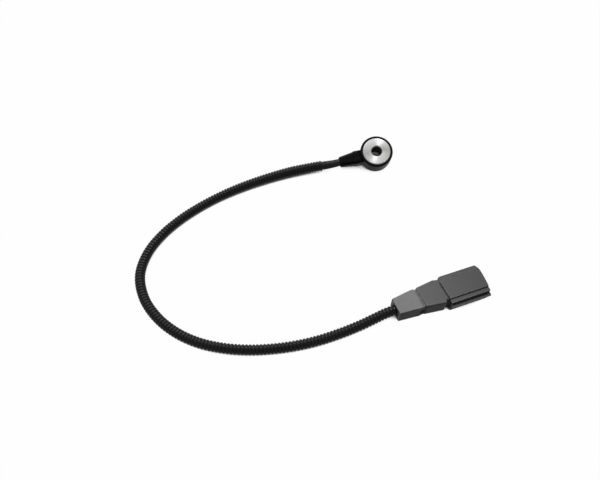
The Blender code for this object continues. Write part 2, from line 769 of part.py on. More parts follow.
def make_connector_housing(parent, grey):
    """Body, neck and shroud in one moulding, with its socket, terminal lanes and snap nubs."""
    housing = object_from("connector_housing", lofted(shroud_sections()), grey, parent)
    neck_width = BODY_FRONT_WIDTH - NECK_NEAR_INSET - NECK_FAR_INSET
    neck_center = (BODY_OFFSET + (NECK_NEAR_INSET - NECK_FAR_INSET) / 2, 0)
    neck = [
        rounded_outline(x, neck_width, height, BODY_CORNER, neck_center)
        for x, height in (
            (body_end - BODY_CORNER, BODY_FRONT_HEIGHT - GROOVE_DEPTH),
            (neck_end + FIT_GAP, BODY_FRONT_HEIGHT - 2 * NECK_FALL),
        )
    ]
    join(housing, "neck", lofted(neck))
    groove_end = body_start + GROOVE_WIDTH
    inset = 2 * GROOVE_DEPTH
    front_inset = 2 * BODY_CORNER
    places = [
        (body_start, BODY_REAR_WIDTH - inset, BODY_REAR_HEIGHT - inset),
        (groove_end, BODY_REAR_WIDTH - inset, BODY_REAR_HEIGHT - inset),
        (groove_end + GROOVE_DEPTH / 2, BODY_REAR_WIDTH, BODY_REAR_HEIGHT),
        (body_end - BODY_CORNER, BODY_FRONT_WIDTH, BODY_FRONT_HEIGHT),
        (body_end - BODY_CORNER * 0.3, BODY_FRONT_WIDTH - front_inset * 0.3, BODY_FRONT_HEIGHT - inset * 0.3),
        (body_end, BODY_FRONT_WIDTH - front_inset, BODY_FRONT_HEIGHT - inset),
    ]
    body = [rounded_outline(x, width, height, BODY_CORNER, (BODY_OFFSET, 0)) for x, width, height in places]
    join(housing, "body", lofted(body))
    spigot = [cover_section(x, COVER_WALL + FIT_GAP) for x in (spigot_start, COVER_LENGTH)]
    spigot.append([(body_start + GROOVE_WIDTH / 2, y, z) for _, y, z in spigot[-1]])
    join(housing, "spigot", lofted(spigot))
    join(housing, "snap_nubs", snap_bar())

    cut(housing, "socket", along_x(socket_outline(), socket_floor, shroud_end + FIT_GAP))
    channel_start = barrel_end + FIT_GAP
    for lane, y in terminal_lanes:
        bore = round_bar(
            spigot_start - FIT_GAP, channel_start, seal_bore_radius, SMALL_SIDES, (y, 0)
        )
        cut(housing, f"{lane}_bore", bore)
        channel = block(
            (channel_start - FIT_GAP, y - CHANNEL_WIDTH / 2, channel_bottom),
            (socket_floor + FIT_GAP, y + CHANNEL_WIDTH / 2, -channel_bottom),
        )
        cut(housing, f"{lane}_channel", channel)
    half_width = TERMINAL_PITCH + CHANNEL_WIDTH / 2 + FIT_GAP
    slot = block(
        (lock_start - FIT_GAP, -half_width - FIT_GAP, -SHROUD_HEIGHT),
        (lock_end + FIT_GAP, half_width + FIT_GAP, channel_bottom + FIT_GAP),
    )
    cut(housing, "lock_slot", slot)


def snap_bar():
    """One bar across the spigot whose rounded ends are the two snap nubs."""
    reach = BODY_REAR_WIDTH / 2 + SNAP_STANDOUT
    crown = SNAP_STANDOUT * 0.8
    sections = []
    for y, share in ((-reach, 0.55), (-reach + crown, 1.0), (reach - crown, 1.0), (reach, 0.55)):
        sections.append(
            [
                (
                    snap_x + SNAP_LENGTH / 2 * share * math.cos(math.tau * i / SMALL_SIDES),
                    y + BODY_OFFSET,
                    -SNAP_DROP + SNAP_HEIGHT / 2 * share * math.sin(math.tau * i / SMALL_SIDES),
                )
                for i in range(SMALL_SIDES)
            ]
        )
    return lofted(sections)


def make_lock(parent, finish):
    """The comb that slides in from below and locks the three terminals."""
    half_width = TERMINAL_PITCH + CHANNEL_WIDTH / 2
    bottom = -SHROUD_HEIGHT / 2 + LOCK_RECESS
    top = channel_bottom
    lock = object_from(
        "terminal_lock",
        block((lock_start, -half_width, bottom), (lock_end, half_width, top)),
        finish,
        parent,
    )
    for lane, y in terminal_lanes[:2]:
        gap_center = y - TERMINAL_PITCH / 2
        gap = block(
            (lock_start - FIT_GAP, gap_center - FIT_GAP, (top + bottom) / 2),
            (lock_end + FIT_GAP, gap_center + FIT_GAP, top + FIT_GAP),
        )
        cut(lock, f"{lane}_lock_gap", gap)


def make_terminal(lane, y, parent, tin):
    """A blade terminal: crimp barrel, body in its channel, blade in the socket."""
    body_width = CHANNEL_WIDTH - 2 * SMALL_GAP
    body_height = CHANNEL_HEIGHT - 2 * SMALL_GAP
    body_first = barrel_end + FIT_GAP
    tip = socket_floor + BLADE_REACH
    terminal = object_from(
        f"{lane}_terminal",
        block(
            (body_first, y - body_width / 2, -body_height / 2),
            (socket_floor - FIT_GAP, y + body_width / 2, body_height / 2),
        ),
        tin,
        parent,
    )
    sections = []
    hole_end = barrel_end - 2 * BARREL_WALL
    for x, share in ((hole_end + BARREL_WALL, 1.0), (tip - BLADE_TIP, 1.0), (tip, 0.4)):
        half_width = BLADE_WIDTH / 2 * share
        half_height = BLADE_THICKNESS / 2 * share
        corners = ((-1, -1), (1, -1), (1, 1), (-1, 1))
        sections.append([(x, y + a * half_width, b * half_height) for a, b in corners])
    join(terminal, f"{lane}_blade", lofted(sections))
    barrel = round_bar(barrel_start, barrel_end, barrel_radius, SMALL_SIDES, (y, 0))
    join(terminal, f"{lane}_barrel", barrel)
    hole = round_bar(barrel_start - FIT_GAP, hole_end, core_radius + SMALL_GAP, SMALL_SIDES, (y, 0))
    cut(terminal, f"{lane}_barrel_hole", hole)


def make_seal(lane, y, parent, rubber):
    """A round wire seal with two lips."""
    outer = seal_bore_radius - SMALL_GAP
    waist = outer - SMALL_GAP
    inner = core_radius + SMALL_GAP
    profile = [(inner, 0), (waist, 0)]
    for lip in (0.3, 0.7):
        for offset, radius in ((-0.12, waist), (-0.05, outer), (0.05, outer), (0.12, waist)):
            profile.append((radius, SEAL_LENGTH * (lip + offset)))
    profile += [(waist, SEAL_LENGTH), (inner, SEAL_LENGTH)]
    shape = turned(profile, SMALL_SIDES)
    place = Matrix.Translation((seal_start, y, 0)) @ Matrix.Rotation(math.pi / 2, 4, "Y")
    bmesh.ops.transform(shape, matrix=place, verts=shape.verts)
    object_from(f"{lane}_seal", shape, rubber, parent)


def make_plug_wire(lane, y, parent, finish):
    """A core from the conduit's end, through its seal, into the crimp."""
    start = CONDUIT_HOLD + FIT_GAP
    near = y * 0.45
    points = [
        Vector((start, near, 0)),
        Vector((start + CORE_DIAMETER, near, 0)),
        Vector((spigot_start - CORE_DIAMETER, y, 0)),
        Vector((spigot_start, y, 0)),
        Vector((barrel_end - 2 * BARREL_WALL - FIT_GAP, y, 0)),
    ]
    tube(f"{lane}_wire_plug", points, [core_radius] * len(points), finish, parent)


def world_corners(pieces):
    """The lowest and highest corner of the evaluated pieces."""
    bpy.context.view_layer.update()
    graph = bpy.context.evaluated_depsgraph_get()
    low = Vector((math.inf,) * 3)
    high = Vector((-math.inf,) * 3)
    for piece in pieces:
        evaluated = piece.evaluated_get(graph)
        mesh = evaluated.to_mesh()
        for vertex in mesh.vertices:
            place = evaluated.matrix_world @ vertex.co
            low = Vector(map(min, low, place))
            high = Vector(map(max, high, place))
        evaluated.to_mesh_clear()
    return low, high


def stand_head(head):
    """Puts the bottom centre of the head's bounding box at the origin."""
    pieces = [piece for piece in head.children if not piece.hide_render]
    low, high = world_corners(pieces)
    head.location -= Vector(((low.x + high.x) / 2, (low.y + high.y) / 2, low.z))
    bpy.context.view_layer.update()


def make_head(finishes):
    """All pieces of the head, on a frame whose Z leaves the contact face."""
    head = bpy.data.objects.new("head_frame", None)
    bpy.context.scene.collection.objects.link(head)
    head.rotation_mode = "QUATERNION"
    slope = Matrix.Rotation(-HEAD_SLOPE, 4, "Y")
    roll = Matrix.Rotation(HEAD_ROLL, 4, "X")
    turn = Matrix.Rotation(HEAD_TURN, 4, "Z")
    head.rotation_quaternion = (slope @ roll @ turn).to_quaternion()
    make_sleeve(head, finishes["steel"])
    make_plain_rings(head, finishes)
    make_mass(head, finishes["mass"])
    tabs = {
        "signal": make_contact("front_contact", 1, TAB_DROP, head, finishes["brass"]),
        "ground": make_contact("rear_contact", -1, 0, head, finishes["brass"]),
    }
    make_spring(head, finishes["spring"])
    make_nut(head, finishes["mass"])
    heights = [tip.z for tip in tabs.values()] + [tail_level]
    top = max(heights) + core_radius + SMALL_GAP
    bottom = min(heights) - core_radius - SMALL_GAP
    make_housing(head, finishes["black"], top, bottom)
    make_head_wires(tabs, head, finishes)
    stand_head(head)
    return head


def make_connector(finishes):
    """All pieces of the connector, on a frame whose X leaves the socket."""
    connector = bpy.data.objects.new("connector_frame", None)
    bpy.context.scene.collection.objects.link(connector)
    connector.location = (CONNECTOR_X, CONNECTOR_Y, SHROUD_HEIGHT / 2)
    connector.rotation_euler = (0, 0, CONNECTOR_YAW)
    bpy.context.view_layer.update()
    make_cover(connector, finishes["cover_grey"])
    make_connector_housing(connector, finishes["housing_grey"])
    make_lock(connector, finishes["lock"])
    for lane, y in terminal_lanes:
        make_terminal(lane, y, connector, finishes["tin"])
        make_seal(lane, y, connector, finishes["seal"])
        make_plug_wire(lane, y, connector, finishes[lane])
    return connector


def make_finishes():
    """One material for each finish of the object."""
    return {
        "steel": material("turned_steel", (0.45, 0.45, 0.44), 0.32, 1.0),
        "mass": material("dark_steel", (0.30, 0.30, 0.30), 0.40, 1.0),
        "spring": material("spring_steel", (0.36, 0.35, 0.33), 0.35, 1.0),
        "brass": material("contact_brass", (0.62, 0.45, 0.18), 0.30, 1.0),
        "film": material("insulating_film", (0.55, 0.33, 0.10), 0.45),
        "ceramic": material("piezo_ceramic", (0.58, 0.54, 0.44), 0.60),
        "black": material("black_moulding", (0.012, 0.012, 0.013), 0.38),
        "jacket": material("jacket_black", (0.014, 0.014, 0.015), 0.40),
        "conduit": material("conduit_black", (0.012, 0.012, 0.013), 0.35),
        "cover_grey": material("cover_grey", (0.19, 0.19, 0.19), 0.50),
        "housing_grey": material("housing_grey", (0.115, 0.115, 0.115), 0.50),
        "lock": material("lock_grey", (0.30, 0.30, 0.31), 0.50),
        "tin": material("tinned_brass", (0.58, 0.57, 0.53), 0.25, 1.0),
        "seal": material("seal_rubber", (0.25, 0.09, 0.03), 0.60),
        "signal": material("core_brown", (0.12, 0.05, 0.02), 0.45),
        "ground": material("core_white", (0.60, 0.60, 0.58), 0.45),
        "shield": material("core_black", (0.02, 0.02, 0.02), 0.45),
    }


def main():
    for old in list(bpy.data.objects):
        bpy.data.objects.remove(old, do_unlink=True)
    finishes = make_finishes()
    head = make_head(finishes)
    connector = make_connector(finishes)
    make_lead(head, connector, finishes["jacket"], finishes["conduit"])


main()
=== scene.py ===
# %% [markdown]
# # An engine knock sensor on its lead
# A washer-type sensor head is bolted to an engine block through its steel sleeve. A cable in corrugated
# conduit takes its signal to a three-way connector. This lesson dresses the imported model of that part: it
# keeps its sizes and places, apart from small edges and grooves, and gives each piece the surface of the
# real one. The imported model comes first, since all pieces are placed by it.

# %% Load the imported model
import math

import bmesh
import bpy
from mathutils import Matrix, Vector


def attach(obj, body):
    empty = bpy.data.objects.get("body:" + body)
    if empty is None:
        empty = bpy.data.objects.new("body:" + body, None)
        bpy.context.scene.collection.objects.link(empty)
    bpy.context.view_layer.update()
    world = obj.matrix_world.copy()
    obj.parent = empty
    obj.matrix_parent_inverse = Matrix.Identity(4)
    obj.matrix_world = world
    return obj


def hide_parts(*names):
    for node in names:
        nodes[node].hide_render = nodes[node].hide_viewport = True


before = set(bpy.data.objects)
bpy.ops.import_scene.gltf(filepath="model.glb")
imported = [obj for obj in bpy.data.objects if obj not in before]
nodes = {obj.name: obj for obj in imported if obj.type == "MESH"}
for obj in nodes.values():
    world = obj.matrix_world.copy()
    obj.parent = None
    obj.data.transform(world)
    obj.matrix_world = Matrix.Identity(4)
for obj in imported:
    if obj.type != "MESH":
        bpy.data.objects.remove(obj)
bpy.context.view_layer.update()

scene = bpy.context.scene


def placed(name, data):
    """A new object in the scene."""
    made = bpy.data.objects.new(name, data)
    scene.collection.objects.link(made)
    return made


# %% [markdown]
# ## The camera
# The photograph looks down at the part from about forty centimetres away. The lens follows from the
# frame: a focal length in pixels, turned into millimetres for a sensor that is 36 mm wide. The camera has
# no shift and no blur.

# %% Camera
IMAGE_WIDTH = 600
SENSOR_WIDTH = 36.0
FOCAL_PIXELS = 553.0
CAMERA_PLACE = (-0.11469, -0.30899, 0.3182)
CAMERA_TILT = math.radians(37.9)
CAMERA_TURN = math.radians(-11.2)

camera_data = bpy.data.cameras.new("camera")
camera_data.sensor_width = SENSOR_WIDTH
camera_data.lens = FOCAL_PIXELS / IMAGE_WIDTH * SENSOR_WIDTH
camera_data.clip_start = 0.01
camera_data.clip_end = 50.0
camera = placed("camera", camera_data)
camera.location = CAMERA_PLACE
camera.rotation_euler = (CAMERA_TILT, 0.0, CAMERA_TURN)
scene.camera = camera
print("lens:", round(camera_data.lens, 2), "mm")

# %% [markdown]
# ## Where the head and the connector lie
# The head rests tilted on its tail and on the edge of its sleeve, and the connector lies flat and turned.
# Each has a frame of its own, which makes its pieces easy to draw: the head's Z axis leaves the contact
# face, the connector's X axis leaves the socket. The head's frame is turned by the given angles, and its
# origin is the centre of the imported sleeve's face.

# %% Frames of the head and the connector
HEAD_SLOPE = math.radians(5.3)
HEAD_ROLL = math.radians(25.0)
HEAD_TURN = math.radians(1.2)
CONNECTOR_PLACE = (-0.0177, -0.1391, 0.0055)
CONNECTOR_YAW = math.radians(9.1)

head_turn = Matrix.Rotation(-HEAD_SLOPE, 4, "Y") @ Matrix.Rotation(HEAD_ROLL, 4, "X")
head_turn = head_turn @ Matrix.Rotation(HEAD_TURN, 4, "Z")
local = [head_turn.inverted() @ v.co for v in nodes["mounting_sleeve"].data.vertices]
low = Vector(min(p[axis] for p in local) for axis in range(3))
high = Vector(max(p[axis] for p in local) for axis in range(3))
face_center = Vector(((low.x + high.x) / 2, (low.y + high.y) / 2, high.z))
head_frame = Matrix.Translation(head_turn @ face_center) @ head_turn
connector_frame = Matrix.Translation(CONNECTOR_PLACE) @ Matrix.Rotation(CONNECTOR_YAW, 4, "Z")
print("contact face centre:", [round(1000 * v, 2) for v in head_turn @ face_center])

# %% [markdown]
# ## Shader groups
# Several finishes share an effect. Moulded plastic has a fine grain and faint clouds from the way it
# filled its mould, turned metal has the fine grooves of the tool, and handled parts have paler edges,
# which on the grey connector are also a painted highlight.
# Each effect is a group with named inputs, built once. The shader stays in the material.

# %% Helpers for shader groups
COLOR = "NodeSocketColor"
VALUE = "NodeSocketFloat"
SOCKET_TYPES = {float: VALUE, int: "NodeSocketInt", tuple: COLOR}
SURFACE = {"Color": COLOR, "Roughness": VALUE, "Normal": "NodeSocketVector"}


def add(tree, kind, links=(), **settings):
    """Adds a node, sets its fields, and links or sets its inputs by name or number."""
    made = tree.nodes.new(kind)
    for field, value in settings.items():
        setattr(made, field, value)
    for socket, value in dict(links).items():
        target = made.inputs[socket]
        if isinstance(value, bpy.types.NodeSocket):
            tree.links.new(value, target)
        else:
            target.default_value = value
    return made


def math_node(tree, operation, *values):
    """A Math node's result."""
    return add(tree, "ShaderNodeMath", dict(enumerate(values)), operation=operation).outputs[0]


def new_group(name, kind, inputs, outputs):
    """A node group: each input has a default value or the name of its socket's type, each output a type."""
    tree = bpy.data.node_groups.new(name, kind)
    for label, default in inputs.items():
        is_type = isinstance(default, str)
        socket_type = default if is_type else SOCKET_TYPES[type(default)]
        socket = tree.interface.new_socket(label, in_out="INPUT", socket_type=socket_type)
        if not is_type:
            socket.default_value = default
    for label, socket_type in outputs.items():
        tree.interface.new_socket(label, in_out="OUTPUT", socket_type=socket_type)
    return tree, tree.nodes.new("NodeGroupInput").outputs, tree.nodes.new("NodeGroupOutput").inputs


def put_out(tree, result, **sockets):
    """Links what a group puts out."""
    for label, socket in sockets.items():
        tree.links.new(socket, result[label])
    print("group:", tree.name)


def mixed(tree, factor, first, second):
    """A colour between two colours."""
    return add(tree, "ShaderNodeMix", {0: factor, 6: first, 7: second}, data_type="RGBA").outputs[2]


def noise(tree, place, scale, detail, roughness=0.5):
    """A noise's value at a place."""
    values = {"Vector": place, "Scale": scale, "Detail": detail, "Roughness": roughness}
    return add(tree, "ShaderNodeTexNoise", values).outputs["Fac"]


def ranged(tree, value, low, high, start=0.0, end=1.0, **settings):
    """A value brought from one range to another and held inside it."""
    values = {"Value": value, "From Min": low, "From Max": high, "To Min": start, "To Max": end}
    return add(tree, "ShaderNodeMapRange", values, **settings).outputs["Result"]


def blended(tree, first, share, second):
    """Two values added, with a share of the first and the rest of the second."""
    parts = math_node(tree, "MULTIPLY", first, share), math_node(tree, "MULTIPLY", second, 1 - share)
    return math_node(tree, "ADD", *parts)


def object_place(tree):
    """The place on the piece, in metres."""
    return add(tree, "ShaderNodeTexCoord").outputs["Object"]


def stored(tree, name):
    """A value that the mesh stores."""
    return add(tree, "ShaderNodeAttribute", attribute_name=name).outputs["Fac"]


# %% [markdown]
# The grain group reads Object coordinates, so the pattern keeps its real size on every piece. One noise
# makes the grain that the light catches, and a coarser one makes clouds in the colour. The two together
# make patches of gloss.

# %% Moulded grain
CLOUD_RANGE = (0.35, 0.65)
GRAIN_INPUTS = {
    "Color": (0.1, 0.1, 0.1, 1.0),
    "Cloud Color": (0.12, 0.12, 0.12, 1.0),
    "Grain Scale": 5000.0,
    "Cloud Scale": 350.0,
    "Smooth Roughness": 0.4,
    "Rough Roughness": 0.5,
    "Grain Depth": 0.00001,
}
grain, given, result = new_group("moulded grain", "ShaderNodeTree", GRAIN_INPUTS, SURFACE)
place = object_place(grain)
fine = noise(grain, place, given["Grain Scale"], 3.0, 0.6)
clouds = noise(grain, place, given["Cloud Scale"], 4.0, 0.55)
cloud_mask = ranged(grain, clouds, *CLOUD_RANGE)
patchy = blended(grain, clouds, 0.6, fine)
bump = add(grain, "ShaderNodeBump", {"Height": fine, "Distance": given["Grain Depth"]})
put_out(
    grain,
    result,
    Color=mixed(grain, cloud_mask, given["Color"], given["Cloud Color"]),
    Roughness=ranged(grain, patchy, *CLOUD_RANGE, given["Smooth Roughness"], given["Rough Roughness"]),
    Normal=bump.outputs["Normal"],
)

# %% [markdown]
# A turned face shows rings. The group reads the piece's own UV map, in which V is the distance from the
# axis plus the depth below the face, so the rings stay concentric although the head is tilted. Rings of
# many widths come from a noise in one dimension, along V.

# %% Turned rings
STAIN_RANGE = (0.36, 0.64)
STAIN_SCALE = 500.0
SCRATCH_SCALE = 6000.0
SCRATCH_SHARE = 0.25
RING_INPUTS = {
    "Color": (0.5, 0.5, 0.49, 1.0),
    "Dark Color": (0.4, 0.4, 0.39, 1.0),
    "Ring Scale": 900.0,
    "Ring Depth": 0.00001,
    "Smooth Roughness": 0.25,
    "Rough Roughness": 0.4,
}
rings, given, result = new_group("turned rings", "ShaderNodeTree", RING_INPUTS, SURFACE)
around = add(rings, "ShaderNodeUVMap", uv_map="turning")
split = add(rings, "ShaderNodeSeparateXYZ", {"Vector": around.outputs["UV"]}).outputs
across = {"W": split["Y"], "Scale": given["Ring Scale"], "Detail": 3.0, "Roughness": 0.7}
cuts = add(rings, "ShaderNodeTexNoise", across, noise_dimensions="1D").outputs["Fac"]
place = object_place(rings)
stains = noise(rings, place, STAIN_SCALE, 5.0, 0.6)
scratch = noise(rings, place, SCRATCH_SCALE, 2.0)
patchy = blended(rings, cuts, 0.55, stains)
mask = ranged(rings, patchy, *STAIN_RANGE)
height = math_node(rings, "ADD", cuts, math_node(rings, "MULTIPLY", scratch, SCRATCH_SHARE))
bump = add(rings, "ShaderNodeBump", {"Height": height, "Distance": given["Ring Depth"]})
put_out(
    rings,
    result,
    Color=mixed(rings, mask, given["Dark Color"], given["Color"]),
    Roughness=ranged(rings, patchy, *STAIN_RANGE, given["Rough Roughness"], given["Smooth Roughness"]),
    Normal=bump.outputs["Normal"],
)

# %% [markdown]
# Edges are handled most, so they become paler with use. On the grey connector the paler edge is also a
# painted highlight along the rounded edges. Pointiness, which Cycles measures on the mesh, finds the
# convex edges of a finely meshed piece, and a noise breaks the line up.

# %% Pale edges: use and painted highlight
EDGE_RANGE = (0.505, 0.535)
WEAR_AND_HIGHLIGHT_SCALE = 900.0
WEAR_AND_HIGHLIGHT_RANGE = (0.35, 0.6)

wear_and_highlight, given, result = new_group(
    "edge wear",
    "ShaderNodeTree",
    {"Color": COLOR, "Worn And Lit Color": COLOR, "Amount": 0.5},
    {"Color": COLOR},
)
pointed = add(wear_and_highlight, "ShaderNodeNewGeometry").outputs["Pointiness"]
edge = ranged(wear_and_highlight, pointed, *EDGE_RANGE)
patches = ranged(wear_and_highlight, noise(wear_and_highlight, object_place(wear_and_highlight), WEAR_AND_HIGHLIGHT_SCALE, 4.0), *WEAR_AND_HIGHLIGHT_RANGE)
worn_and_lit = math_node(wear_and_highlight, "MULTIPLY", math_node(wear_and_highlight, "MULTIPLY", edge, patches), given["Amount"])
put_out(wear_and_highlight, result, Color=mixed(wear_and_highlight, worn_and_lit, given["Color"], given["Worn And Lit Color"]))

# %% [markdown]
# ## Materials
# Each finish places the groups with its own values. A number that is the same all over a surface, such as
# the strength of a metal's brushed reflection, is set on the shader's own socket.

# %% Helpers for materials
def new_material(name, constants):
    """A material with its tree and its Principled shader, some of whose sockets hold constants."""
    made = bpy.data.materials.new(name)
    made.use_nodes = True
    shader = made.node_tree.nodes["Principled BSDF"]
    for label, value in constants.items():
        shader.inputs[label].default_value = value
    return made, made.node_tree, shader


def surface(tree, shader, group, roughness, values):
    """Places a group with its values and links its colour, roughness and normal to the shader."""
    values = {**values, "Smooth Roughness": roughness[0], "Rough Roughness": roughness[1]}
    source = add(tree, "ShaderNodeGroup", values, node_tree=group).outputs
    for label, socket in (("Color", "Base Color"), ("Roughness", "Roughness"), ("Normal", "Normal")):
        tree.links.new(source[label], shader.inputs[socket])
    return source


def rgb(value, warm=0.0):
    """A grey from black to white, a little warmer or cooler."""
    return (value * (1 + warm), value, value * (1 - warm), 1.0)


def plastic(
    name, color, cloud, roughness, scale, depth=0.00001, worn_and_lit=None, metallic=0.0, amount=0.5, sheen=0.5
):
    """A moulded or matt finish with grain, clouds and, if asked, pale edges from use and painted highlight.
    """
    made, tree, shader = new_material(name, {"Specular IOR Level": sheen, "Metallic": metallic})
    values = {"Color": color, "Cloud Color": cloud, "Grain Scale": scale, "Grain Depth": depth}
    source = surface(tree, shader, grain, roughness, values)
    if worn_and_lit is not None:
        values = {"Color": source["Color"], "Worn And Lit Color": worn_and_lit, "Amount": amount}
        edges = add(tree, "ShaderNodeGroup", values, node_tree=wear_and_highlight)
        tree.links.new(edges.outputs["Color"], shader.inputs["Base Color"])
    return made


# %% [markdown]
# ## The lead
# The real lead is a smooth black cable that runs inside a corrugated nylon conduit, and both are bent as
# one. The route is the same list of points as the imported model's, joined by one smooth curve.

# %% Route of the lead
HOUSING_RADIUS = 0.0129
TAIL_END = -0.0300
TAIL_LEVEL = -0.00685
JACKET_START = -0.0215
BEND_AFTER_EXIT = 0.0060
CONDUIT_HOLD = 0.0047
BARE_JACKET_LENGTH = 0.0140
FIT_GAP = 0.0003
PATH_STEP = 0.001
CURVE_STEPS = 12
ROUTE = [
    (-0.0413, 0.0003, 0.0052), (-0.0509, 0.0002, 0.0046), (-0.0610, -0.0005, 0.0043),
    (-0.0797, -0.0037, 0.0041), (-0.0984, -0.0082, 0.0039), (-0.1165, -0.0143, 0.0037),
    (-0.1336, -0.0222, 0.0035), (-0.1495, -0.0320, 0.0035), (-0.1636, -0.0440, 0.0035),
    (-0.1749, -0.0590, 0.0035), (-0.1808, -0.0770, 0.0035), (-0.1786, -0.0966, 0.0035),
    (-0.1705, -0.1135, 0.0035), (-0.1592, -0.1268, 0.0035), (-0.1462, -0.1365, 0.0035),
    (-0.1321, -0.1431, 0.0035), (-0.1176, -0.1474, 0.0035), (-0.1029, -0.1498, 0.0035),
    (-0.0879, -0.1507, 0.0035), (-0.0729, -0.1501, 0.0035), (-0.0575, -0.1479, 0.0036),
    (-0.0420, -0.1447, 0.0041),
]


def smooth_path(points, spacing):
    """Points at an even spacing on one smooth curve through the given points."""
    points = [Vector(p) for p in points]
    padded = [points[0] * 2 - points[1], *points, points[-1] * 2 - points[-2]]
    chain = []
    for corners in zip(padded, padded[1:], padded[2:], padded[3:]):
        chain += [spline_point(corners, step / CURVE_STEPS) for step in range(CURVE_STEPS)]
    chain.append(points[-1])
    lengths = [0.0]
    for start, end in zip(chain, chain[1:]):
        lengths.append(lengths[-1] + (end - start).length)
    count = max(2, round(lengths[-1] / spacing))
    return [point_at(chain, lengths, lengths[-1] * i / count) for i in range(count + 1)]


def spline_point(corners, share):
    """A point of a centripetal curve between its second and third corners."""
    knots = [0.0]
    for start, end in zip(corners, corners[1:]):
        knots.append(knots[-1] + math.sqrt((end - start).length))
    at = knots[1] + (knots[2] - knots[1]) * share
    level = list(corners)
    for spans in (((0, 1), (1, 2), (2, 3)), ((0, 2), (1, 3)), ((1, 2),)):
        level = [
            start.lerp(end, (at - knots[i]) / (knots[j] - knots[i]))
            for start, end, (i, j) in zip(level, level[1:], spans)
        ]
    return level[0]


def point_at(points, lengths, distance):
    """The point at a distance along a chain of points."""
    for index in range(1, len(points)):
        if lengths[index] >= distance or index == len(points) - 1:
            share = (distance - lengths[index - 1]) / (lengths[index] - lengths[index - 1])
            return points[index - 1].lerp(points[index], min(1.0, share))
    return points[-1]


def from_head(x):
    """A point on the middle line of the head's tail."""
    return head_frame @ Vector((x, 0.0, TAIL_LEVEL))


def from_connector(x):
    """A point on the connector's middle line."""
    return connector_frame @ Vector((x, 0.0, 0.0))


lead_route = [from_head(TAIL_END), from_head(TAIL_END - BEND_AFTER_EXIT), *[Vector(p) for p in ROUTE]]
lead_route += [from_connector(-BEND_AFTER_EXIT), from_connector(0.0), from_connector(CONDUIT_HOLD)]
lead_path = smooth_path(lead_route, PATH_STEP)
bare_count = round(BARE_JACKET_LENGTH / PATH_STEP)
conduit_path = lead_path[bare_count:]
conduit_path[0] = conduit_path[0] + (conduit_path[1] - conduit_path[0]).normalized() * FIT_GAP

# %% [markdown]
# Corrugated tube repeats one ring almost a hundred and seventy times along a bend. Geometry Nodes suit
# that: the tree resamples the route finely, works out how far each point is through its ring, pulls the
# radius in at each groove and sweeps a circle along the result. The route's own radius gives the swell
# near the head. The groove depth is an input, so the same tree also makes the smooth cable. It stores
# the ring's height for the material.

# %% Tube along a path
GEOMETRY = "NodeSocketGeometry"
TUBE_INPUTS = {
    "Geometry": GEOMETRY,
    "Pitch": 0.0023,
    "Ring Depth": 0.0007,
    "Steps In A Ring": 10.0,
    "Crown End": 0.40,
    "Groove Start": 0.92,
    "Sides": 28,
    "Material": "NodeSocketMaterial",
}
tube_tree, given, result = new_group(
    "tube along a path", "GeometryNodeTree", TUBE_INPUTS, {"Geometry": GEOMETRY}
)


def maths(operation, *values):
    """A Math node's result in the tube's tree."""
    return math_node(tube_tree, operation, *values)


def geometry(kind, values, **settings):
    """The first output of a node in the tube's tree."""
    return add(tube_tree, kind, values, **settings).outputs[0]


step_length = maths("DIVIDE", given["Pitch"], given["Steps In A Ring"])
route_points = {"Curve": given["Geometry"], "Length": step_length}
path = geometry("GeometryNodeResampleCurve", route_points, mode="LENGTH")
distance = add(tube_tree, "GeometryNodeSplineParameter").outputs["Length"]
phase = maths("FRACT", maths("DIVIDE", distance, given["Pitch"]))
from_crown = maths("MULTIPLY", maths("ABSOLUTE", maths("SUBTRACT", phase, 0.5)), 2.0)
groove = ranged(
    tube_tree, from_crown, given["Crown End"], given["Groove Start"], interpolation_type="SMOOTHSTEP"
)
own_radius = add(tube_tree, "GeometryNodeInputRadius").outputs["Radius"]
radius = maths("SUBTRACT", own_radius, maths("MULTIPLY", groove, given["Ring Depth"]))
values = {"Geometry": path, "Name": "groove", "Value": groove}
path = geometry("GeometryNodeStoreNamedAttribute", values, data_type="FLOAT", domain="POINT")
circle = geometry("GeometryNodeCurvePrimitiveCircle", {"Resolution": given["Sides"], "Radius": 1.0})
values = {"Curve": path, "Profile Curve": circle, "Scale": radius, "Fill Caps": True}
swept = geometry("GeometryNodeCurveToMesh", values)
smooth = geometry("GeometryNodeSetShadeSmooth", {0: swept})
real = geometry("GeometryNodeRealizeInstances", {"Geometry": smooth})
coated = geometry("GeometryNodeSetMaterial", {"Geometry": real, "Material": given["Material"]})
put_out(tube_tree, result, Geometry=coated)


def socket_key(tree, label):
    """The identifier of a tree's input, which a modifier needs."""
    return next(s.identifier for s in tree.interface.items_tree if s.in_out == "INPUT" and s.name == label)


def evaluated_mesh(piece):
    """The mesh that a piece has once its modifiers have run."""
    graph = bpy.context.evaluated_depsgraph_get()
    return bpy.data.meshes.new_from_object(piece.evaluated_get(graph))


def tube_along(name, points, radii, finish, values):
    """A plain mesh tube along the points, made by the tree."""
    curve = bpy.data.curves.new(name, "CURVE")
    curve.dimensions = "3D"
    spline = curve.splines.new("POLY")
    spline.points.add(len(points) - 1)
    for point, place, size in zip(spline.points, points, radii):
        point.co = (*place, 1.0)
        point.radius = size
    holder = placed(name + "_route", curve)
    modifier = holder.modifiers.new("tube", "NODES")
    modifier.node_group = tube_tree
    for label, value in {**values, "Material": finish}.items():
        modifier[socket_key(tube_tree, label)] = value
    mesh = evaluated_mesh(holder)
    bpy.data.objects.remove(holder, do_unlink=True)
    mesh.name = name
    print(name, len(mesh.vertices), "points,", len(mesh.polygons), "faces")
    return placed(name, mesh)


# %% [markdown]
# The conduit's plastic is glossy on the crowns of its rings, where it rubs, and dull with dust in the
# grooves. The stored height of the ring tells the material where it is.

# %% Materials of the lead
TUBE_SHEEN = 0.14
GROOVE_DULLNESS = 0.25


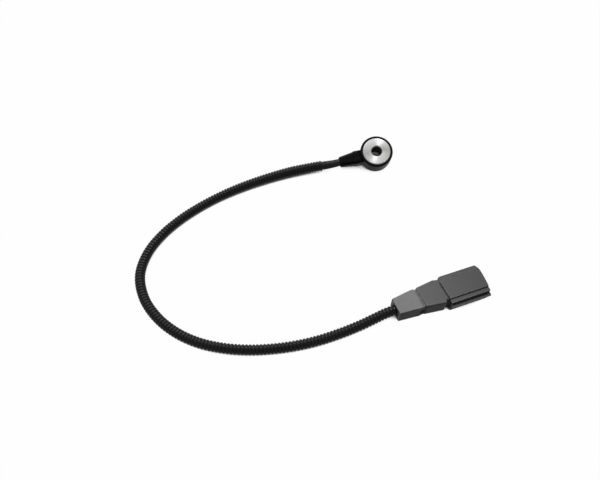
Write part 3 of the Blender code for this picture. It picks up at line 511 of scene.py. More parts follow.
def tube_material(name, crown, valley, roughness, depth):
    """Black flexible plastic whose grooves are dull and a little dusty."""
    made, tree, shader = new_material(name, {"Specular IOR Level": TUBE_SHEEN})
    height_mask = stored(tree, "groove")
    values = {"Color": crown, "Cloud Color": mixed(tree, 0.35, crown, valley)}
    values |= {"Grain Scale": 3500.0, "Cloud Scale": 260.0, "Grain Depth": depth}
    source = surface(tree, shader, grain, roughness, values)
    tree.links.new(mixed(tree, height_mask, source["Color"], valley), shader.inputs["Base Color"])
    dull = math_node(tree, "MULTIPLY", height_mask, GROOVE_DULLNESS)
    tree.links.new(math_node(tree, "ADD", source["Roughness"], dull), shader.inputs["Roughness"])
    return made


conduit_black = tube_material("conduit_black", rgb(0.004), rgb(0.005), (0.13, 0.21), 0.000004)
jacket_black = tube_material("jacket_black", rgb(0.006), rgb(0.009), (0.30, 0.46), 0.00002)
print("materials:", conduit_black.name, jacket_black.name)

# %% [markdown]
# The conduit is stretched over the thicker start of the cable, so it is widest a little way from its
# mouth and slims down over the next six and a half centimetres.

# %% Conduit and cable
CONDUIT_RADIUS = 0.0035
CONDUIT_MOUTH_RADIUS = 0.0041
CONDUIT_SWELL_RADIUS = 0.0042
SWELL_PEAK = 0.0250
SWELL_END = 0.0900
JACKET_RADIUS = 0.00285
JACKET_MOUTH_RADIUS = 0.0033
JACKET_PLAIN_STEPS = 8
JACKET_SWELL_STEPS = 12
CONDUIT_WALL = 0.0005
MOUTH_DEPTH = 0.0040
RING_PITCH = 0.00231
RING_DEPTH = 0.00065


def clamped(share):
    """A share kept between nothing and all."""
    return min(1.0, max(0.0, share))


def swollen_radius(distance):
    """The conduit's radius at a distance from its mouth."""
    if distance < SWELL_PEAK:
        growth = CONDUIT_SWELL_RADIUS - CONDUIT_MOUTH_RADIUS
        return CONDUIT_MOUTH_RADIUS + growth * distance / SWELL_PEAK
    share = min(1.0, (distance - SWELL_PEAK) / (SWELL_END - SWELL_PEAK))
    return CONDUIT_SWELL_RADIUS + (CONDUIT_RADIUS - CONDUIT_SWELL_RADIUS) * share


conduit = tube_along(
    "corrugated_conduit",
    conduit_path,
    [swollen_radius(PATH_STEP * i) for i in range(len(conduit_path))],
    conduit_black,
    {"Pitch": RING_PITCH, "Ring Depth": RING_DEPTH, "Sides": 28, "Steps In A Ring": 10.0},
)

mouth_direction = (lead_path[bare_count + 1] - lead_path[bare_count]).normalized()
inside_mouth = lead_path[bare_count] + mouth_direction * MOUTH_DEPTH * 0.9
jacket_route = [from_head(JACKET_START), *lead_path[: bare_count + 1 : 3], inside_mouth]
jacket_path = smooth_path(jacket_route, PATH_STEP)
jacket_growth = JACKET_MOUTH_RADIUS - JACKET_RADIUS
jacket_shares = [clamped((i - JACKET_PLAIN_STEPS) / JACKET_SWELL_STEPS) for i in range(len(jacket_path))]
jacket = tube_along(
    "cable_sheath",
    jacket_path,
    [JACKET_RADIUS + jacket_growth * share for share in jacket_shares],
    jacket_black,
    {"Pitch": 0.004, "Ring Depth": 0.0, "Sides": 40, "Steps In A Ring": 8.0},
)

# %% [markdown]
# ## Meshes in a frame of their own
# The mouldings are drawn as they would be on paper: a turned outline for what is round, and sections
# joined by a loft for what is not. A moulding has no sharp edge anywhere, because the mould is cut with
# small radii. A voxel remesh and a few passes of smoothing give every edge such a radius at once, also
# where two forms meet.

# %% Helpers for meshes
ROUND_SIDES = 160
BAR_SIDES = 48
CORNER_STEPS = 8
FILLET_STEPS = 4
SMOOTH_PASSES = 3


def mesh_object(name, shape, finish=None):
    """An object from a bmesh, with doubles merged and faces turned outwards."""
    bmesh.ops.remove_doubles(shape, verts=shape.verts, dist=1e-7)
    bmesh.ops.recalc_face_normals(shape, faces=shape.faces)
    mesh = bpy.data.meshes.new(name)
    shape.to_mesh(mesh)
    shape.free()
    if finish is not None:
        mesh.materials.append(finish)
    return placed(name, mesh)


def bridge(shape, near, far):
    """Joins two closed loops of points by faces."""
    count = len(near)
    for i in range(count):
        j = (i + 1) % count
        shape.faces.new((near[i], near[j], far[j], far[i]))


def turned(profile):
    """A ring turned round Z from a closed outline of (radius, height) points."""
    shape = bmesh.new()
    columns = []
    for side in range(ROUND_SIDES):
        angle = math.tau * side / ROUND_SIDES
        spots = [(r * math.cos(angle), r * math.sin(angle), z) for r, z in profile]
        columns.append([shape.verts.new(spot) for spot in spots])
    for side in range(ROUND_SIDES):
        bridge(shape, columns[side], columns[(side + 1) % ROUND_SIDES])
    return shape


def lofted(sections):
    """A closed solid through outlines that have the same number of points."""
    shape = bmesh.new()
    loops = [[shape.verts.new(point) for point in section] for section in sections]
    for near, far in zip(loops, loops[1:]):
        bridge(shape, near, far)
    shape.faces.new(loops[0])
    shape.faces.new(loops[-1])
    return shape


def rounded_outline(x, width, height, corner, center):
    """The points of a rounded rectangle across X, round its centre in Y and Z."""
    corner = min(corner, width * 0.49, height * 0.49)
    points = []
    for quarter in range(4):
        middle = math.tau * (quarter + 0.5) / 4
        arc_y = center[0] + math.copysign(width / 2 - corner, math.cos(middle))
        arc_z = center[1] + math.copysign(height / 2 - corner, math.sin(middle))
        for step in range(CORNER_STEPS + 1):
            angle = math.tau * (quarter + step / CORNER_STEPS) / 4
            points.append((x, arc_y + corner * math.cos(angle), arc_z + corner * math.sin(angle)))
    return points


def along_x(outline, start, end):
    """A straight solid whose outline of (y, z) points runs along X."""
    return lofted([[(x, y, z) for y, z in outline] for x in (start, end)])


def round_bar(start, end, radius, center):
    """A round bar along X."""
    angles = [math.tau * i / BAR_SIDES for i in range(BAR_SIDES)]
    outline = [(center[0] + radius * math.cos(a), center[1] + radius * math.sin(a)) for a in angles]
    return along_x(outline, start, end)


def block(low_corner, high_corner):
    """A box between two corners."""
    (x0, y0, z0), (x1, y1, z1) = low_corner, high_corner
    return along_x([(y0, z0), (y1, z0), (y1, z1), (y0, z1)], x0, x1)


def apply_modifiers(piece):
    """Turns the piece's modifiers into its mesh."""
    mesh = evaluated_mesh(piece)
    piece.modifiers.clear()
    old = piece.data
    piece.data = mesh
    bpy.data.meshes.remove(old)


def shaped(piece, joined, cut):
    """Joins shapes to the piece, then cuts others from it, one after another."""
    changes = [("UNION", shape) for shape in joined] + [("DIFFERENCE", shape) for shape in cut]
    helpers = []
    for index, (operation, shape) in enumerate(changes):
        tool = mesh_object(f"{piece.name}_tool_{index}", shape)
        step = piece.modifiers.new(tool.name, "BOOLEAN")
        step.operation = operation
        step.solver = "EXACT"
        step.object = tool
        helpers.append(tool)
    apply_modifiers(piece)
    for tool in helpers:
        bpy.data.objects.remove(tool, do_unlink=True)


def moulded(piece, finish, place, voxel):
    """Softens every edge of the piece as a mould does, then puts it in place."""
    remesh = piece.modifiers.new("remesh", "REMESH")
    remesh.mode = "VOXEL"
    remesh.voxel_size = voxel
    soften = piece.modifiers.new("soften", "SMOOTH")
    soften.factor = 0.5
    soften.iterations = SMOOTH_PASSES
    apply_modifiers(piece)
    piece.data.transform(place)
    piece.data.materials.clear()
    piece.data.materials.append(finish)
    piece.data.shade_smooth()
    print(piece.name, sum(len(f.vertices) - 2 for f in piece.data.polygons), "triangles")


# %% [markdown]
# The conduit is a hollow tube, and its mouth shows: the end cap is drawn in by the wall's thickness and
# pushed back, so that the cable really goes into it.

# %% Hollow mouth of the conduit
def hollow_mouth(piece, start, direction, wall, depth):
    """Opens the end cap that faces away from the direction."""
    shape = bmesh.new()
    shape.from_mesh(piece.data)
    shape.faces.ensure_lookup_table()
    caps = [face for face in shape.faces if len(face.verts) > 8]
    cap = min(caps, key=lambda face: (face.calc_center_median() - start).length)
    bmesh.ops.inset_region(shape, faces=[cap], thickness=wall)
    shift = direction.normalized() * depth
    bmesh.ops.translate(shape, vec=shift, verts=list(cap.verts))
    shape.to_mesh(piece.data)
    shape.free()


hollow_mouth(conduit, conduit_path[0], conduit_path[1] - conduit_path[0], CONDUIT_WALL, MOUTH_DEPTH)

# %% [markdown]
# ## The steel sleeve
# The sleeve is turned from bar: its flange is the face that presses on the engine block and stays bare
# metal. It is drawn as a profile and turned in many steps. Its UV map holds the angle, and the radius
# plus the depth below the face. The metal's rings and its stretched highlights follow that map.

# %% Turned steel
BORE_RADIUS = 0.0042
SLEEVE_RADIUS = 0.0060
FLANGE_RADIUS = 0.0110
FLANGE_THICKNESS = 0.0016
BORE_CHAMFER = 0.0005
EDGE_CHAMFER = 0.0005
BORE_SHADE = 0.0014
HOUSING_BACK = -0.0124
BACK_WALL = 0.0011
SLEEVE_END = -0.0133
SLEEVE_WALL = 0.0018
METAL_RING_SCALE = 900.0
METAL_RING_DEPTH = 0.000008
BORE_DULLNESS = 0.3


def metal(name, color, dark, roughness, brushed, bore_painted_shade):
    """Turned metal with rings, a reflection stretched across them and a dull bore with painted shade."""
    constants = {"Metallic": 1.0, "Anisotropic": brushed, "Anisotropic Rotation": 0.25}
    made, tree, shader = new_material(name, constants)
    values = {"Color": color, "Dark Color": dark}
    values |= {"Ring Scale": METAL_RING_SCALE, "Ring Depth": METAL_RING_DEPTH}
    source = surface(tree, shader, rings, roughness, values)
    # Painted shade: below the face the bore's wall is made nearly black, and duller.
    in_bore = stored(tree, "bore")
    tree.links.new(mixed(tree, in_bore, source["Color"], bore_painted_shade), shader.inputs["Base Color"])
    dull = math_node(tree, "MULTIPLY_ADD", in_bore, BORE_DULLNESS, source["Roughness"])
    tree.links.new(dull, shader.inputs["Roughness"])
    lay = add(tree, "ShaderNodeTangent", direction_type="UV_MAP", uv_map="turning")
    tree.links.new(lay.outputs["Tangent"], shader.inputs["Tangent"])
    return made


# The last colour is the painted shade in the bore.
turned_steel = metal("turned_steel", rgb(0.37, 0.004), rgb(0.29, 0.008), (0.26, 0.36), 0.88, rgb(0.03))


def turned_uv(piece):
    """A UV map of angle, and of radius plus depth, for a piece turned round Z."""
    mesh = piece.data
    layer = mesh.uv_layers.new(name="turning")
    for face in mesh.polygons:
        middle = math.atan2(face.center.y, face.center.x)
        for loop in face.loop_indices:
            spot = mesh.vertices[mesh.loops[loop].vertex_index].co
            angle = math.atan2(spot.y, spot.x)
            angle += math.tau * round((middle - angle) / math.tau)
            layer.data[loop].uv = (angle / math.tau, math.hypot(spot.x, spot.y) - spot.z)


def filleted(corners):
    """A profile whose corners, each (radius, height, fillet), are rounded."""
    points = []
    count = len(corners)
    for index, (x, y, fillet) in enumerate(corners):
        here = Vector((x, y))
        if fillet == 0:
            points.append((x, y))
            continue
        before = Vector(corners[index - 1][:2]) - here
        after = Vector(corners[(index + 1) % count][:2]) - here
        start = here + before.normalized() * min(fillet, before.length * 0.45)
        end = here + after.normalized() * min(fillet, after.length * 0.45)
        for step in range(FILLET_STEPS + 1):
            t = step / FILLET_STEPS
            spot = start * (1 - t) ** 2 + here * 2 * t * (1 - t) + end * t ** 2
            points.append((spot.x, spot.y))
    return points


groove_radius = SLEEVE_RADIUS - SLEEVE_WALL * 0.12
sleeve_corners = [
    (BORE_RADIUS + BORE_CHAMFER, 0.0, 0.00012),
    (FLANGE_RADIUS - EDGE_CHAMFER, 0.0, 0.00015),
    (FLANGE_RADIUS, -EDGE_CHAMFER, 0.00015),
    (FLANGE_RADIUS, -FLANGE_THICKNESS, 0.0001),
    (SLEEVE_RADIUS, -FLANGE_THICKNESS, 0),
    (SLEEVE_RADIUS, HOUSING_BACK + BACK_WALL * 0.75, 0),
    (groove_radius, HOUSING_BACK + BACK_WALL * 0.6, 0),
    (groove_radius, HOUSING_BACK + BACK_WALL * 0.4, 0),
    (SLEEVE_RADIUS, HOUSING_BACK + BACK_WALL * 0.25, 0),
    (SLEEVE_RADIUS, SLEEVE_END + EDGE_CHAMFER, 0.0001),
    (SLEEVE_RADIUS - EDGE_CHAMFER, SLEEVE_END, 0.0001),
    (BORE_RADIUS + BORE_CHAMFER, SLEEVE_END, 0.0001),
    (BORE_RADIUS, SLEEVE_END + BORE_CHAMFER, 0.00015),
    (BORE_RADIUS, SLEEVE_END + BORE_SHADE, 0),
    (BORE_RADIUS, -BORE_SHADE, 0),
    (BORE_RADIUS, -BORE_CHAMFER, 0.00015),
]
sleeve = mesh_object("steel_sleeve", turned(filleted(sleeve_corners)), turned_steel)
turned_uv(sleeve)
# The bore mask marks where the painted shade darkens the wall.
bore_mask = sleeve.data.attributes.new("bore", "FLOAT", "POINT")
for vertex, spot in zip(sleeve.data.vertices, bore_mask.data):
    inside = math.hypot(vertex.co.x, vertex.co.y) < BORE_RADIUS + 0.00001
    spot.value = 1.0 if inside and vertex.co.z < -BORE_SHADE * 0.99 else 0.0
sleeve.data.shade_smooth()
sleeve.data.set_sharp_from_angle(angle=math.radians(30))
sleeve.data.transform(head_frame)
print("sleeve:", len(sleeve.data.polygons), "faces")

# %% [markdown]
# ## The black moulding of the head
# One moulding holds everything: a ring round the stack and a tail that grips the cable. The ring is
# turned, the tail is a loft with a shoulder near the ring, a groove follows the ring across the tail's
# root, and a round hole takes the cable.

# %% Head moulding
RIM_RADIUS = 0.01115
RIM_DROP = 0.0003
CAVITY_RADIUS = 0.0104
CAVITY_FLOOR = -0.0113
TAIL_SHOULDER = -0.0179
TAIL_STEP = 0.0004
TAIL_END_WALL = 0.0008
TAIL_END_WIDTH = 0.0080
TAIL_END_HEIGHT = 0.0076
TAIL_SPREAD = 0.0023
TAIL_BLOCK_TAPER = 0.0005
TAIL_CORNER = 0.0019
TAIL_GROOVE_WIDTH = 0.0017
TAIL_GROOVE_DEPTH = 0.0014
SMALL_GAP = 0.00015
JACKET_HOLE_RADIUS = 0.0030
WIRE_SLOT = ((-0.0218, -0.0033, -0.0079), (-0.0101, 0.0033, -0.0034))
RIM_CHAMFER = 0.0007
BACK_CHAMFER = 0.0014
HEAD_VOXEL = 0.00022
TAIL_EDGE_ROUND = 0.0006
LEDGE_GAP = 0.0001

black_moulding = plastic(
    "black_moulding", rgb(0.005), rgb(0.008), (0.16, 0.32), 4000.0, worn_and_lit=rgb(0.05), sheen=0.025
)


def tail_outline(x, width, height):
    """A section of the tail with broad chamfers whose edges are rounded."""
    corner = min(TAIL_CORNER, width * 0.45, height * 0.45)
    half_width, half_height = width / 2, height / 2
    corners = []
    for side_y, side_z in ((1, 1), (-1, 1), (-1, -1), (1, -1)):
        pair = [(half_width, half_height - corner), (half_width - corner, half_height)]
        if side_y * side_z < 0:
            pair.reverse()
        corners += [(side_y * y, side_z * z, TAIL_EDGE_ROUND) for y, z in pair]
    return [(x, y, TAIL_LEVEL + z) for y, z in filleted(corners)]


housing_corners = [
    (RIM_RADIUS, -RIM_DROP, 0.0002),
    (HOUSING_RADIUS - RIM_CHAMFER, -RIM_DROP, 0.0004),
    (HOUSING_RADIUS, -RIM_DROP - RIM_CHAMFER, 0.0004),
    (HOUSING_RADIUS, HOUSING_BACK + BACK_CHAMFER, 0.0006),
    (HOUSING_RADIUS - BACK_CHAMFER, HOUSING_BACK, 0.0006),
    (SLEEVE_RADIUS + SMALL_GAP, HOUSING_BACK, 0),
    (SLEEVE_RADIUS + SMALL_GAP, CAVITY_FLOOR, 0),
    (CAVITY_RADIUS, CAVITY_FLOOR, 0),
    (CAVITY_RADIUS, -FLANGE_THICKNESS - LEDGE_GAP, 0),
    (RIM_RADIUS, -FLANGE_THICKNESS - LEDGE_GAP, 0),
]
head_moulding = mesh_object("head_moulding", turned(filleted(housing_corners)))
wide = TAIL_END_WIDTH + TAIL_SPREAD
tall = TAIL_END_HEIGHT + TAIL_SPREAD
tail_root = -(CAVITY_RADIUS + HOUSING_RADIUS) / 2
tail_sections = [
    tail_outline(tail_root, wide + 2 * TAIL_STEP - TAIL_BLOCK_TAPER, tall + 2 * TAIL_STEP),
    tail_outline(TAIL_SHOULDER, wide + 2 * TAIL_STEP, tall + 2 * TAIL_STEP),
    tail_outline(TAIL_SHOULDER - TAIL_STEP, wide, tall),
    tail_outline(TAIL_END + TAIL_END_WALL, TAIL_END_WIDTH, TAIL_END_HEIGHT),
    tail_outline(TAIL_END, TAIL_END_WIDTH - TAIL_END_WALL, TAIL_END_HEIGHT - TAIL_END_WALL),
]
tail_top = TAIL_LEVEL + (tall + 2 * TAIL_STEP) / 2
groove_profile = [
    (HOUSING_RADIUS, tail_top + FIT_GAP),
    (HOUSING_RADIUS + TAIL_GROOVE_WIDTH, tail_top + FIT_GAP),
    (HOUSING_RADIUS + TAIL_GROOVE_WIDTH, tail_top - TAIL_GROOVE_DEPTH),
    (HOUSING_RADIUS, tail_top - TAIL_GROOVE_DEPTH),
]
cable_hole = round_bar(TAIL_END - FIT_GAP, JACKET_START + FIT_GAP, JACKET_HOLE_RADIUS, (0.0, TAIL_LEVEL))
shaped(head_moulding, [lofted(tail_sections)], [turned(groove_profile), cable_hole, block(*WIRE_SLOT)])
moulded(head_moulding, black_moulding, head_frame, HEAD_VOXEL)

# %% [markdown]
# ## The grey connector
# The cover and the housing are two mouldings in two greys. Both are matt, with a fine grain from the
# mould and pale edges, which are partly wear and partly a painted highlight.

# %% Rear cover
COVER_LENGTH = 0.0168
COVER_END_HEIGHT = 0.0100
COVER_END_WIDTH = 0.0122
COVER_END_OFFSET = 0.0001
COVER_WALL = 0.0010
COVER_CORNER = 0.0007
COVER_EDGE_LENGTH = 0.0026
COVER_EDGE_DROP = 0.0006
BODY_REAR_WIDTH = 0.0157
BODY_REAR_HEIGHT = 0.0104
BODY_OFFSET = 0.0006
CONDUIT_HOLE_RADIUS = 0.0038
SNAP_LENGTH = 0.0030
SNAP_HEIGHT = 0.0019
SNAP_DROP = 0.0012
SNAP_STANDOUT = 0.0008
SNAP_X = 0.0164
COVER_VOXEL = 0.0002
FRONT_PAINTED_SHADE = 0.58
EDGE_STEPS = 6

# The pale edge colours and their large amount paint a highlight along the rounded edges, besides wear.
matt = {"scale": 3200.0, "depth": 0.000016, "amount": 0.9, "sheen": 0.1}
cover_grey = plastic("cover_grey", rgb(0.188), rgb(0.208), (0.42, 0.54), worn_and_lit=rgb(0.50), **matt)
housing_grey = plastic("housing_grey", rgb(0.103), rgb(0.117), (0.40, 0.52), worn_and_lit=rgb(0.34), **matt)


def darkened(finish, attribute, share):
    """Paints shade into the finish where an attribute of the piece says, down to a share of its colour."""
    tree = finish.node_tree
    target = tree.nodes["Principled BSDF"].inputs["Base Color"]
    source = target.links[0].from_socket
    dark = add(tree, "ShaderNodeVectorMath", {0: source, 3: share}, operation="SCALE").outputs["Vector"]
    tree.links.new(mixed(tree, stored(tree, attribute), source, dark), target)


# Painted shade: the housing's grey is darkened towards the front and over the far shoulder.
darkened(housing_grey, "painted_shade_toward_front", FRONT_PAINTED_SHADE)


def cover_section(x, inset=0.0):
    """The rear cover's section at a distance from its cable end, drawn in by an inset."""
    share = x / COVER_LENGTH
    width = COVER_END_WIDTH + (BODY_REAR_WIDTH - COVER_END_WIDTH) * share
    height = COVER_END_HEIGHT + (BODY_REAR_HEIGHT - COVER_END_HEIGHT) * share
    offset = COVER_END_OFFSET + (BODY_OFFSET - COVER_END_OFFSET) * share
    return rounded_outline(x, width - 2 * inset, height - 2 * inset, COVER_CORNER, (offset, 0.0))


cover_sections = [cover_section(0.0)]
for step in range(EDGE_STEPS + 1):
    share = step / EDGE_STEPS
    x = COVER_LENGTH - COVER_EDGE_LENGTH * (1 - share)
    cover_sections.append(cover_section(x, COVER_EDGE_DROP * share ** 2))
cover = mesh_object("back_cover", lofted(cover_sections))
hole_end = CONDUIT_HOLD + FIT_GAP + COVER_WALL
hollow = [cover_section(x, COVER_WALL) for x in (hole_end - COVER_WALL / 2, COVER_LENGTH + FIT_GAP)]
notch_height = SNAP_HEIGHT + 2 * FIT_GAP
notches = block(
    (SNAP_X - SNAP_LENGTH / 2 - FIT_GAP, -BODY_REAR_WIDTH, -SNAP_DROP - notch_height / 2),
    (COVER_LENGTH + FIT_GAP, BODY_REAR_WIDTH, -SNAP_DROP + notch_height / 2),
)
conduit_hole = round_bar(-FIT_GAP, hole_end, CONDUIT_HOLE_RADIUS, (0.0, 0.0))
shaped(cover, [], [conduit_hole, lofted(hollow), notches])
moulded(cover, cover_grey, connector_frame, COVER_VOXEL)

# %% [markdown]
# The connector housing is the hardest form: a tapered body, a narrow neck and a wide shroud with a raised
# panel, two ledges on its near side and a sloping shoulder on its far side. The shroud is one loft of the
# same section, drawn in at both ends so that its corners are round. The socket and the terminal lanes are
# cut out of it. Last, its front edge is swelled forward a little on the far side, as the photograph
# shows, and a painted shade darkens the grey towards the front and over the far shoulder.

# %% Connector housing
BODY_START = 0.0171
BODY_END = 0.0326
NECK_END = 0.0355
SHROUD_END = 0.0643
SOCKET_FLOOR = 0.0453
SPIGOT_START = 0.0121
BODY_FRONT_WIDTH = 0.0190
BODY_FRONT_HEIGHT = 0.0100
BODY_CORNER = 0.0009
BODY_GROOVE_WIDTH = 0.0009
BODY_GROOVE_DEPTH = 0.0006
NECK_NEAR_INSET = 0.0019
NECK_FAR_INSET = 0.0005
NECK_FALL = 0.0008
NECK_SLOPE = 0.0016
SHROUD_HEIGHT = 0.0110
PANEL_WIDTH = 0.0148
RAIL_WIDTH = 0.0030
RAIL_DROP = 0.00105
EDGE_WIDTH = 0.0024
EDGE_LEVEL = 0.0020
EDGE_THICKNESS = 0.0008
SHOULDER_START = 0.0062
SHOULDER_WIDTH = 0.0020
SHOULDER_DROP = 0.0006
FAR_REACH = 0.0116
FAR_LEVEL = 0.0034
BOTTOM_CORNER = 0.0009
SHROUD_WALL = 0.00125
FAR_SLOT_TOP = 0.0024
REAR_ROUND = 0.0032
FRONT_ROUND = 0.0012
RAIL_ROUND = 0.0010
FRONT_SWELL = 0.0015
FAR_SHADE = 0.3
SHROUD_MIDDLE = 0.0500
SHOULDER_BEND = 1.6
HOUSING_VOXEL = 0.00026
SNAP_SIDES = 32


def shroud_section(x, far_inset=0.0, near_inset=0.0):
    """The shroud's section: a raised panel, two ledges on the near side, a sloping far shoulder."""
    top = SHROUD_HEIGHT / 2
    panel = PANEL_WIDTH / 2
    rail = panel + RAIL_WIDTH
    near_rail = rail - near_inset * RAIL_WIDTH / (RAIL_WIDTH + EDGE_WIDTH)
    near_edge = rail + EDGE_WIDTH - near_inset
    edge_bottom = EDGE_LEVEL - EDGE_THICKNESS
    outline = [(-panel, top), (-panel, top - RAIL_DROP), (-near_rail, top - RAIL_DROP)]
    outline += [(-near_rail, EDGE_LEVEL), (-near_edge, EDGE_LEVEL), (-near_edge, edge_bottom)]
    outline += [(-near_rail, edge_bottom), (-near_rail, -top + BOTTOM_CORNER)]
    outline += [(-near_rail + BOTTOM_CORNER, -top)]
    far_edge = FAR_REACH - far_inset
    shoulder = SHOULDER_START - far_inset / 2
    outline += [(far_edge - BOTTOM_CORNER, -top), (far_edge, -top + BOTTOM_CORNER)]
    outline += [(far_edge, FAR_LEVEL)]
    for step in range(EDGE_STEPS + 1):
        across = 1 - step / EDGE_STEPS
        outline.append((shoulder + SHOULDER_WIDTH * across, top - SHOULDER_DROP * across ** SHOULDER_BEND))
    return [(x, y, z) for y, z in outline]


def shroud_sections():
    """Sections along the shroud, drawn in at its ends so that its corners are round from above."""
    angles = [math.pi / 2 * step / CORNER_STEPS for step in range(CORNER_STEPS + 1)]
    turns = [(1 - math.sin(a), 1 - math.cos(a)) for a in angles]
    rear = [shroud_section(NECK_END + REAR_ROUND * pull, REAR_ROUND * rise) for rise, pull in turns]
    front = [
        shroud_section(SHROUD_END - FRONT_ROUND * rise, FRONT_ROUND * pull, RAIL_ROUND * pull)
        for rise, pull in turns
    ]
    return rear + front


def socket_outline():
    """The socket's section: a raised middle, with a lower part to each side of it."""
    top = SHROUD_HEIGHT / 2 - SHROUD_WALL
    middle = PANEL_WIDTH / 2 - SHROUD_WALL
    near_side = PANEL_WIDTH / 2 + RAIL_WIDTH - RAIL_ROUND - SHROUD_WALL
    far_side = FAR_REACH - FRONT_ROUND - SHROUD_WALL
    near_top = SHROUD_HEIGHT / 2 - RAIL_DROP - SHROUD_WALL
    upper = [(middle, top), (-middle, top), (-middle, near_top), (-near_side, near_top)]
    lower = [(-near_side, -top), (far_side, -top)]
    return upper + lower + [(far_side, FAR_SLOT_TOP), (middle, FAR_SLOT_TOP)]


def body_sections():
    """The body, with the groove that the cover's edge meets and a rounded front."""
    inset = 2 * BODY_GROOVE_DEPTH
    groove_end = BODY_START + BODY_GROOVE_WIDTH
    places = [
        (BODY_START, BODY_REAR_WIDTH - inset, BODY_REAR_HEIGHT - inset),
        (groove_end, BODY_REAR_WIDTH - inset, BODY_REAR_HEIGHT - inset),
        (groove_end + BODY_GROOVE_DEPTH, BODY_REAR_WIDTH - inset / 4, BODY_REAR_HEIGHT - inset / 4),
        (groove_end + 2 * BODY_GROOVE_DEPTH, BODY_REAR_WIDTH, BODY_REAR_HEIGHT),
    ]
    for step in range(EDGE_STEPS + 1):
        angle = math.pi / 2 * step / EDGE_STEPS
        x = BODY_END - BODY_CORNER * (1 - math.sin(angle))
        pull = 1 - math.cos(angle)
        places.append((x, BODY_FRONT_WIDTH - 2 * BODY_CORNER * pull, BODY_FRONT_HEIGHT))
    return [rounded_outline(*place, BODY_CORNER, (BODY_OFFSET, 0.0)) for place in places]


def snap_bar():
    """One bar across the spigot whose rounded ends are the two snap nubs."""
    reach = BODY_REAR_WIDTH / 2 + SNAP_STANDOUT
    crown = SNAP_STANDOUT * 0.4
    angles = [math.tau * i / SNAP_SIDES for i in range(SNAP_SIDES)]
    sections = []
    for y, share in ((-reach, 0.8), (-reach + crown, 1.0), (reach - crown, 1.0), (reach, 0.8)):
        length, height = SNAP_LENGTH / 2 * share, SNAP_HEIGHT / 2 * share
        spots = [(SNAP_X + length * math.cos(a), -SNAP_DROP + height * math.sin(a)) for a in angles]
        sections.append([(x, y + BODY_OFFSET, z) for x, z in spots])
    return lofted(sections)


TERMINAL_PITCH = 0.0036
SEAL_BORE_RADIUS = 0.00145
CHANNEL_WIDTH = 0.0027
CHANNEL_HEIGHT = 0.0019
BARREL_END = 0.0214
LOCK_END = 0.0421
LOCK_START = 0.0393
lanes = {"signal": TERMINAL_PITCH, "ground": 0.0, "shield": -TERMINAL_PITCH}

housing = mesh_object("plug_housing", lofted(shroud_sections()))
neck_width = BODY_FRONT_WIDTH - NECK_NEAR_INSET - NECK_FAR_INSET
neck_center = (BODY_OFFSET + (NECK_NEAR_INSET - NECK_FAR_INSET) / 2, 0.0)
neck_ends = [
    (BODY_END - BODY_CORNER, BODY_FRONT_HEIGHT),
    (NECK_END - NECK_SLOPE, BODY_FRONT_HEIGHT),
    (NECK_END + FIT_GAP, BODY_FRONT_HEIGHT - 4 * NECK_FALL),
]
neck = [rounded_outline(x, neck_width, height, BODY_CORNER, neck_center) for x, height in neck_ends]
spigot = [cover_section(x, COVER_WALL + FIT_GAP) for x in (SPIGOT_START, COVER_LENGTH)]
spigot.append([(BODY_START + BODY_GROOVE_WIDTH / 2, y, z) for _, y, z in spigot[-1]])
cuts = [along_x(socket_outline(), SOCKET_FLOOR, SHROUD_END + FIT_GAP)]
channel_start = BARREL_END + FIT_GAP
for lane, y in lanes.items():
    cuts.append(round_bar(SPIGOT_START - FIT_GAP, channel_start, SEAL_BORE_RADIUS, (y, 0.0)))
    channel = block(
        (channel_start - FIT_GAP, y - CHANNEL_WIDTH / 2, -CHANNEL_HEIGHT / 2),
        (SOCKET_FLOOR + FIT_GAP, y + CHANNEL_WIDTH / 2, CHANNEL_HEIGHT / 2),
    )
    cuts.append(channel)
slot_half = TERMINAL_PITCH + CHANNEL_WIDTH / 2 + 2 * FIT_GAP
lock_slot = block(
    (LOCK_START - FIT_GAP, -slot_half, -SHROUD_HEIGHT),
    (LOCK_END + FIT_GAP, slot_half, -CHANNEL_HEIGHT / 2 + FIT_GAP),
)
shaped(housing, [lofted(neck), lofted(body_sections()), lofted(spigot), snap_bar()], [*cuts, lock_slot])
moulded(housing, housing_grey, connector_frame, HOUSING_VOXEL)

to_connector = connector_frame.inverted()
painted_shade_toward_front = housing.data.attributes.new("painted_shade_toward_front", "FLOAT", "POINT")
for vertex, painted_shade in zip(housing.data.vertices, painted_shade_toward_front.data):
    spot = to_connector @ vertex.co
    forward = max(0.0, (spot.x - SHROUD_MIDDLE) / (SHROUD_END - SHROUD_MIDDLE))
    across = clamped((spot.y + PANEL_WIDTH / 2) / (FAR_REACH + PANEL_WIDTH / 2))
    spot.x += FRONT_SWELL * forward * (1 - (1 - across) ** 2)
    vertex.co = connector_frame @ spot
    # The stored value is the painted shade, rising towards the front and over the far shoulder.
    along = (spot.x - BODY_START) / (SHROUD_END - BODY_START)
    slope = max(0.0, (spot.y - SHOULDER_START) / (FAR_REACH - SHOULDER_START))
    painted_shade.value = clamped(along + FAR_SHADE * slope)

# %% [markdown]
# ## What is inside
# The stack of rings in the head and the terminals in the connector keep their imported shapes. They get the
# finishes of the real ones: brass contacts, a ceramic ring, film insulators, a ground steel mass, a
# hardened spring and nut, tinned terminals, rubber seals and coloured wires.

# %% Finishes of the inner pieces
def paint(red, green, blue):
    """An opaque colour."""
    return (red, green, blue, 1)


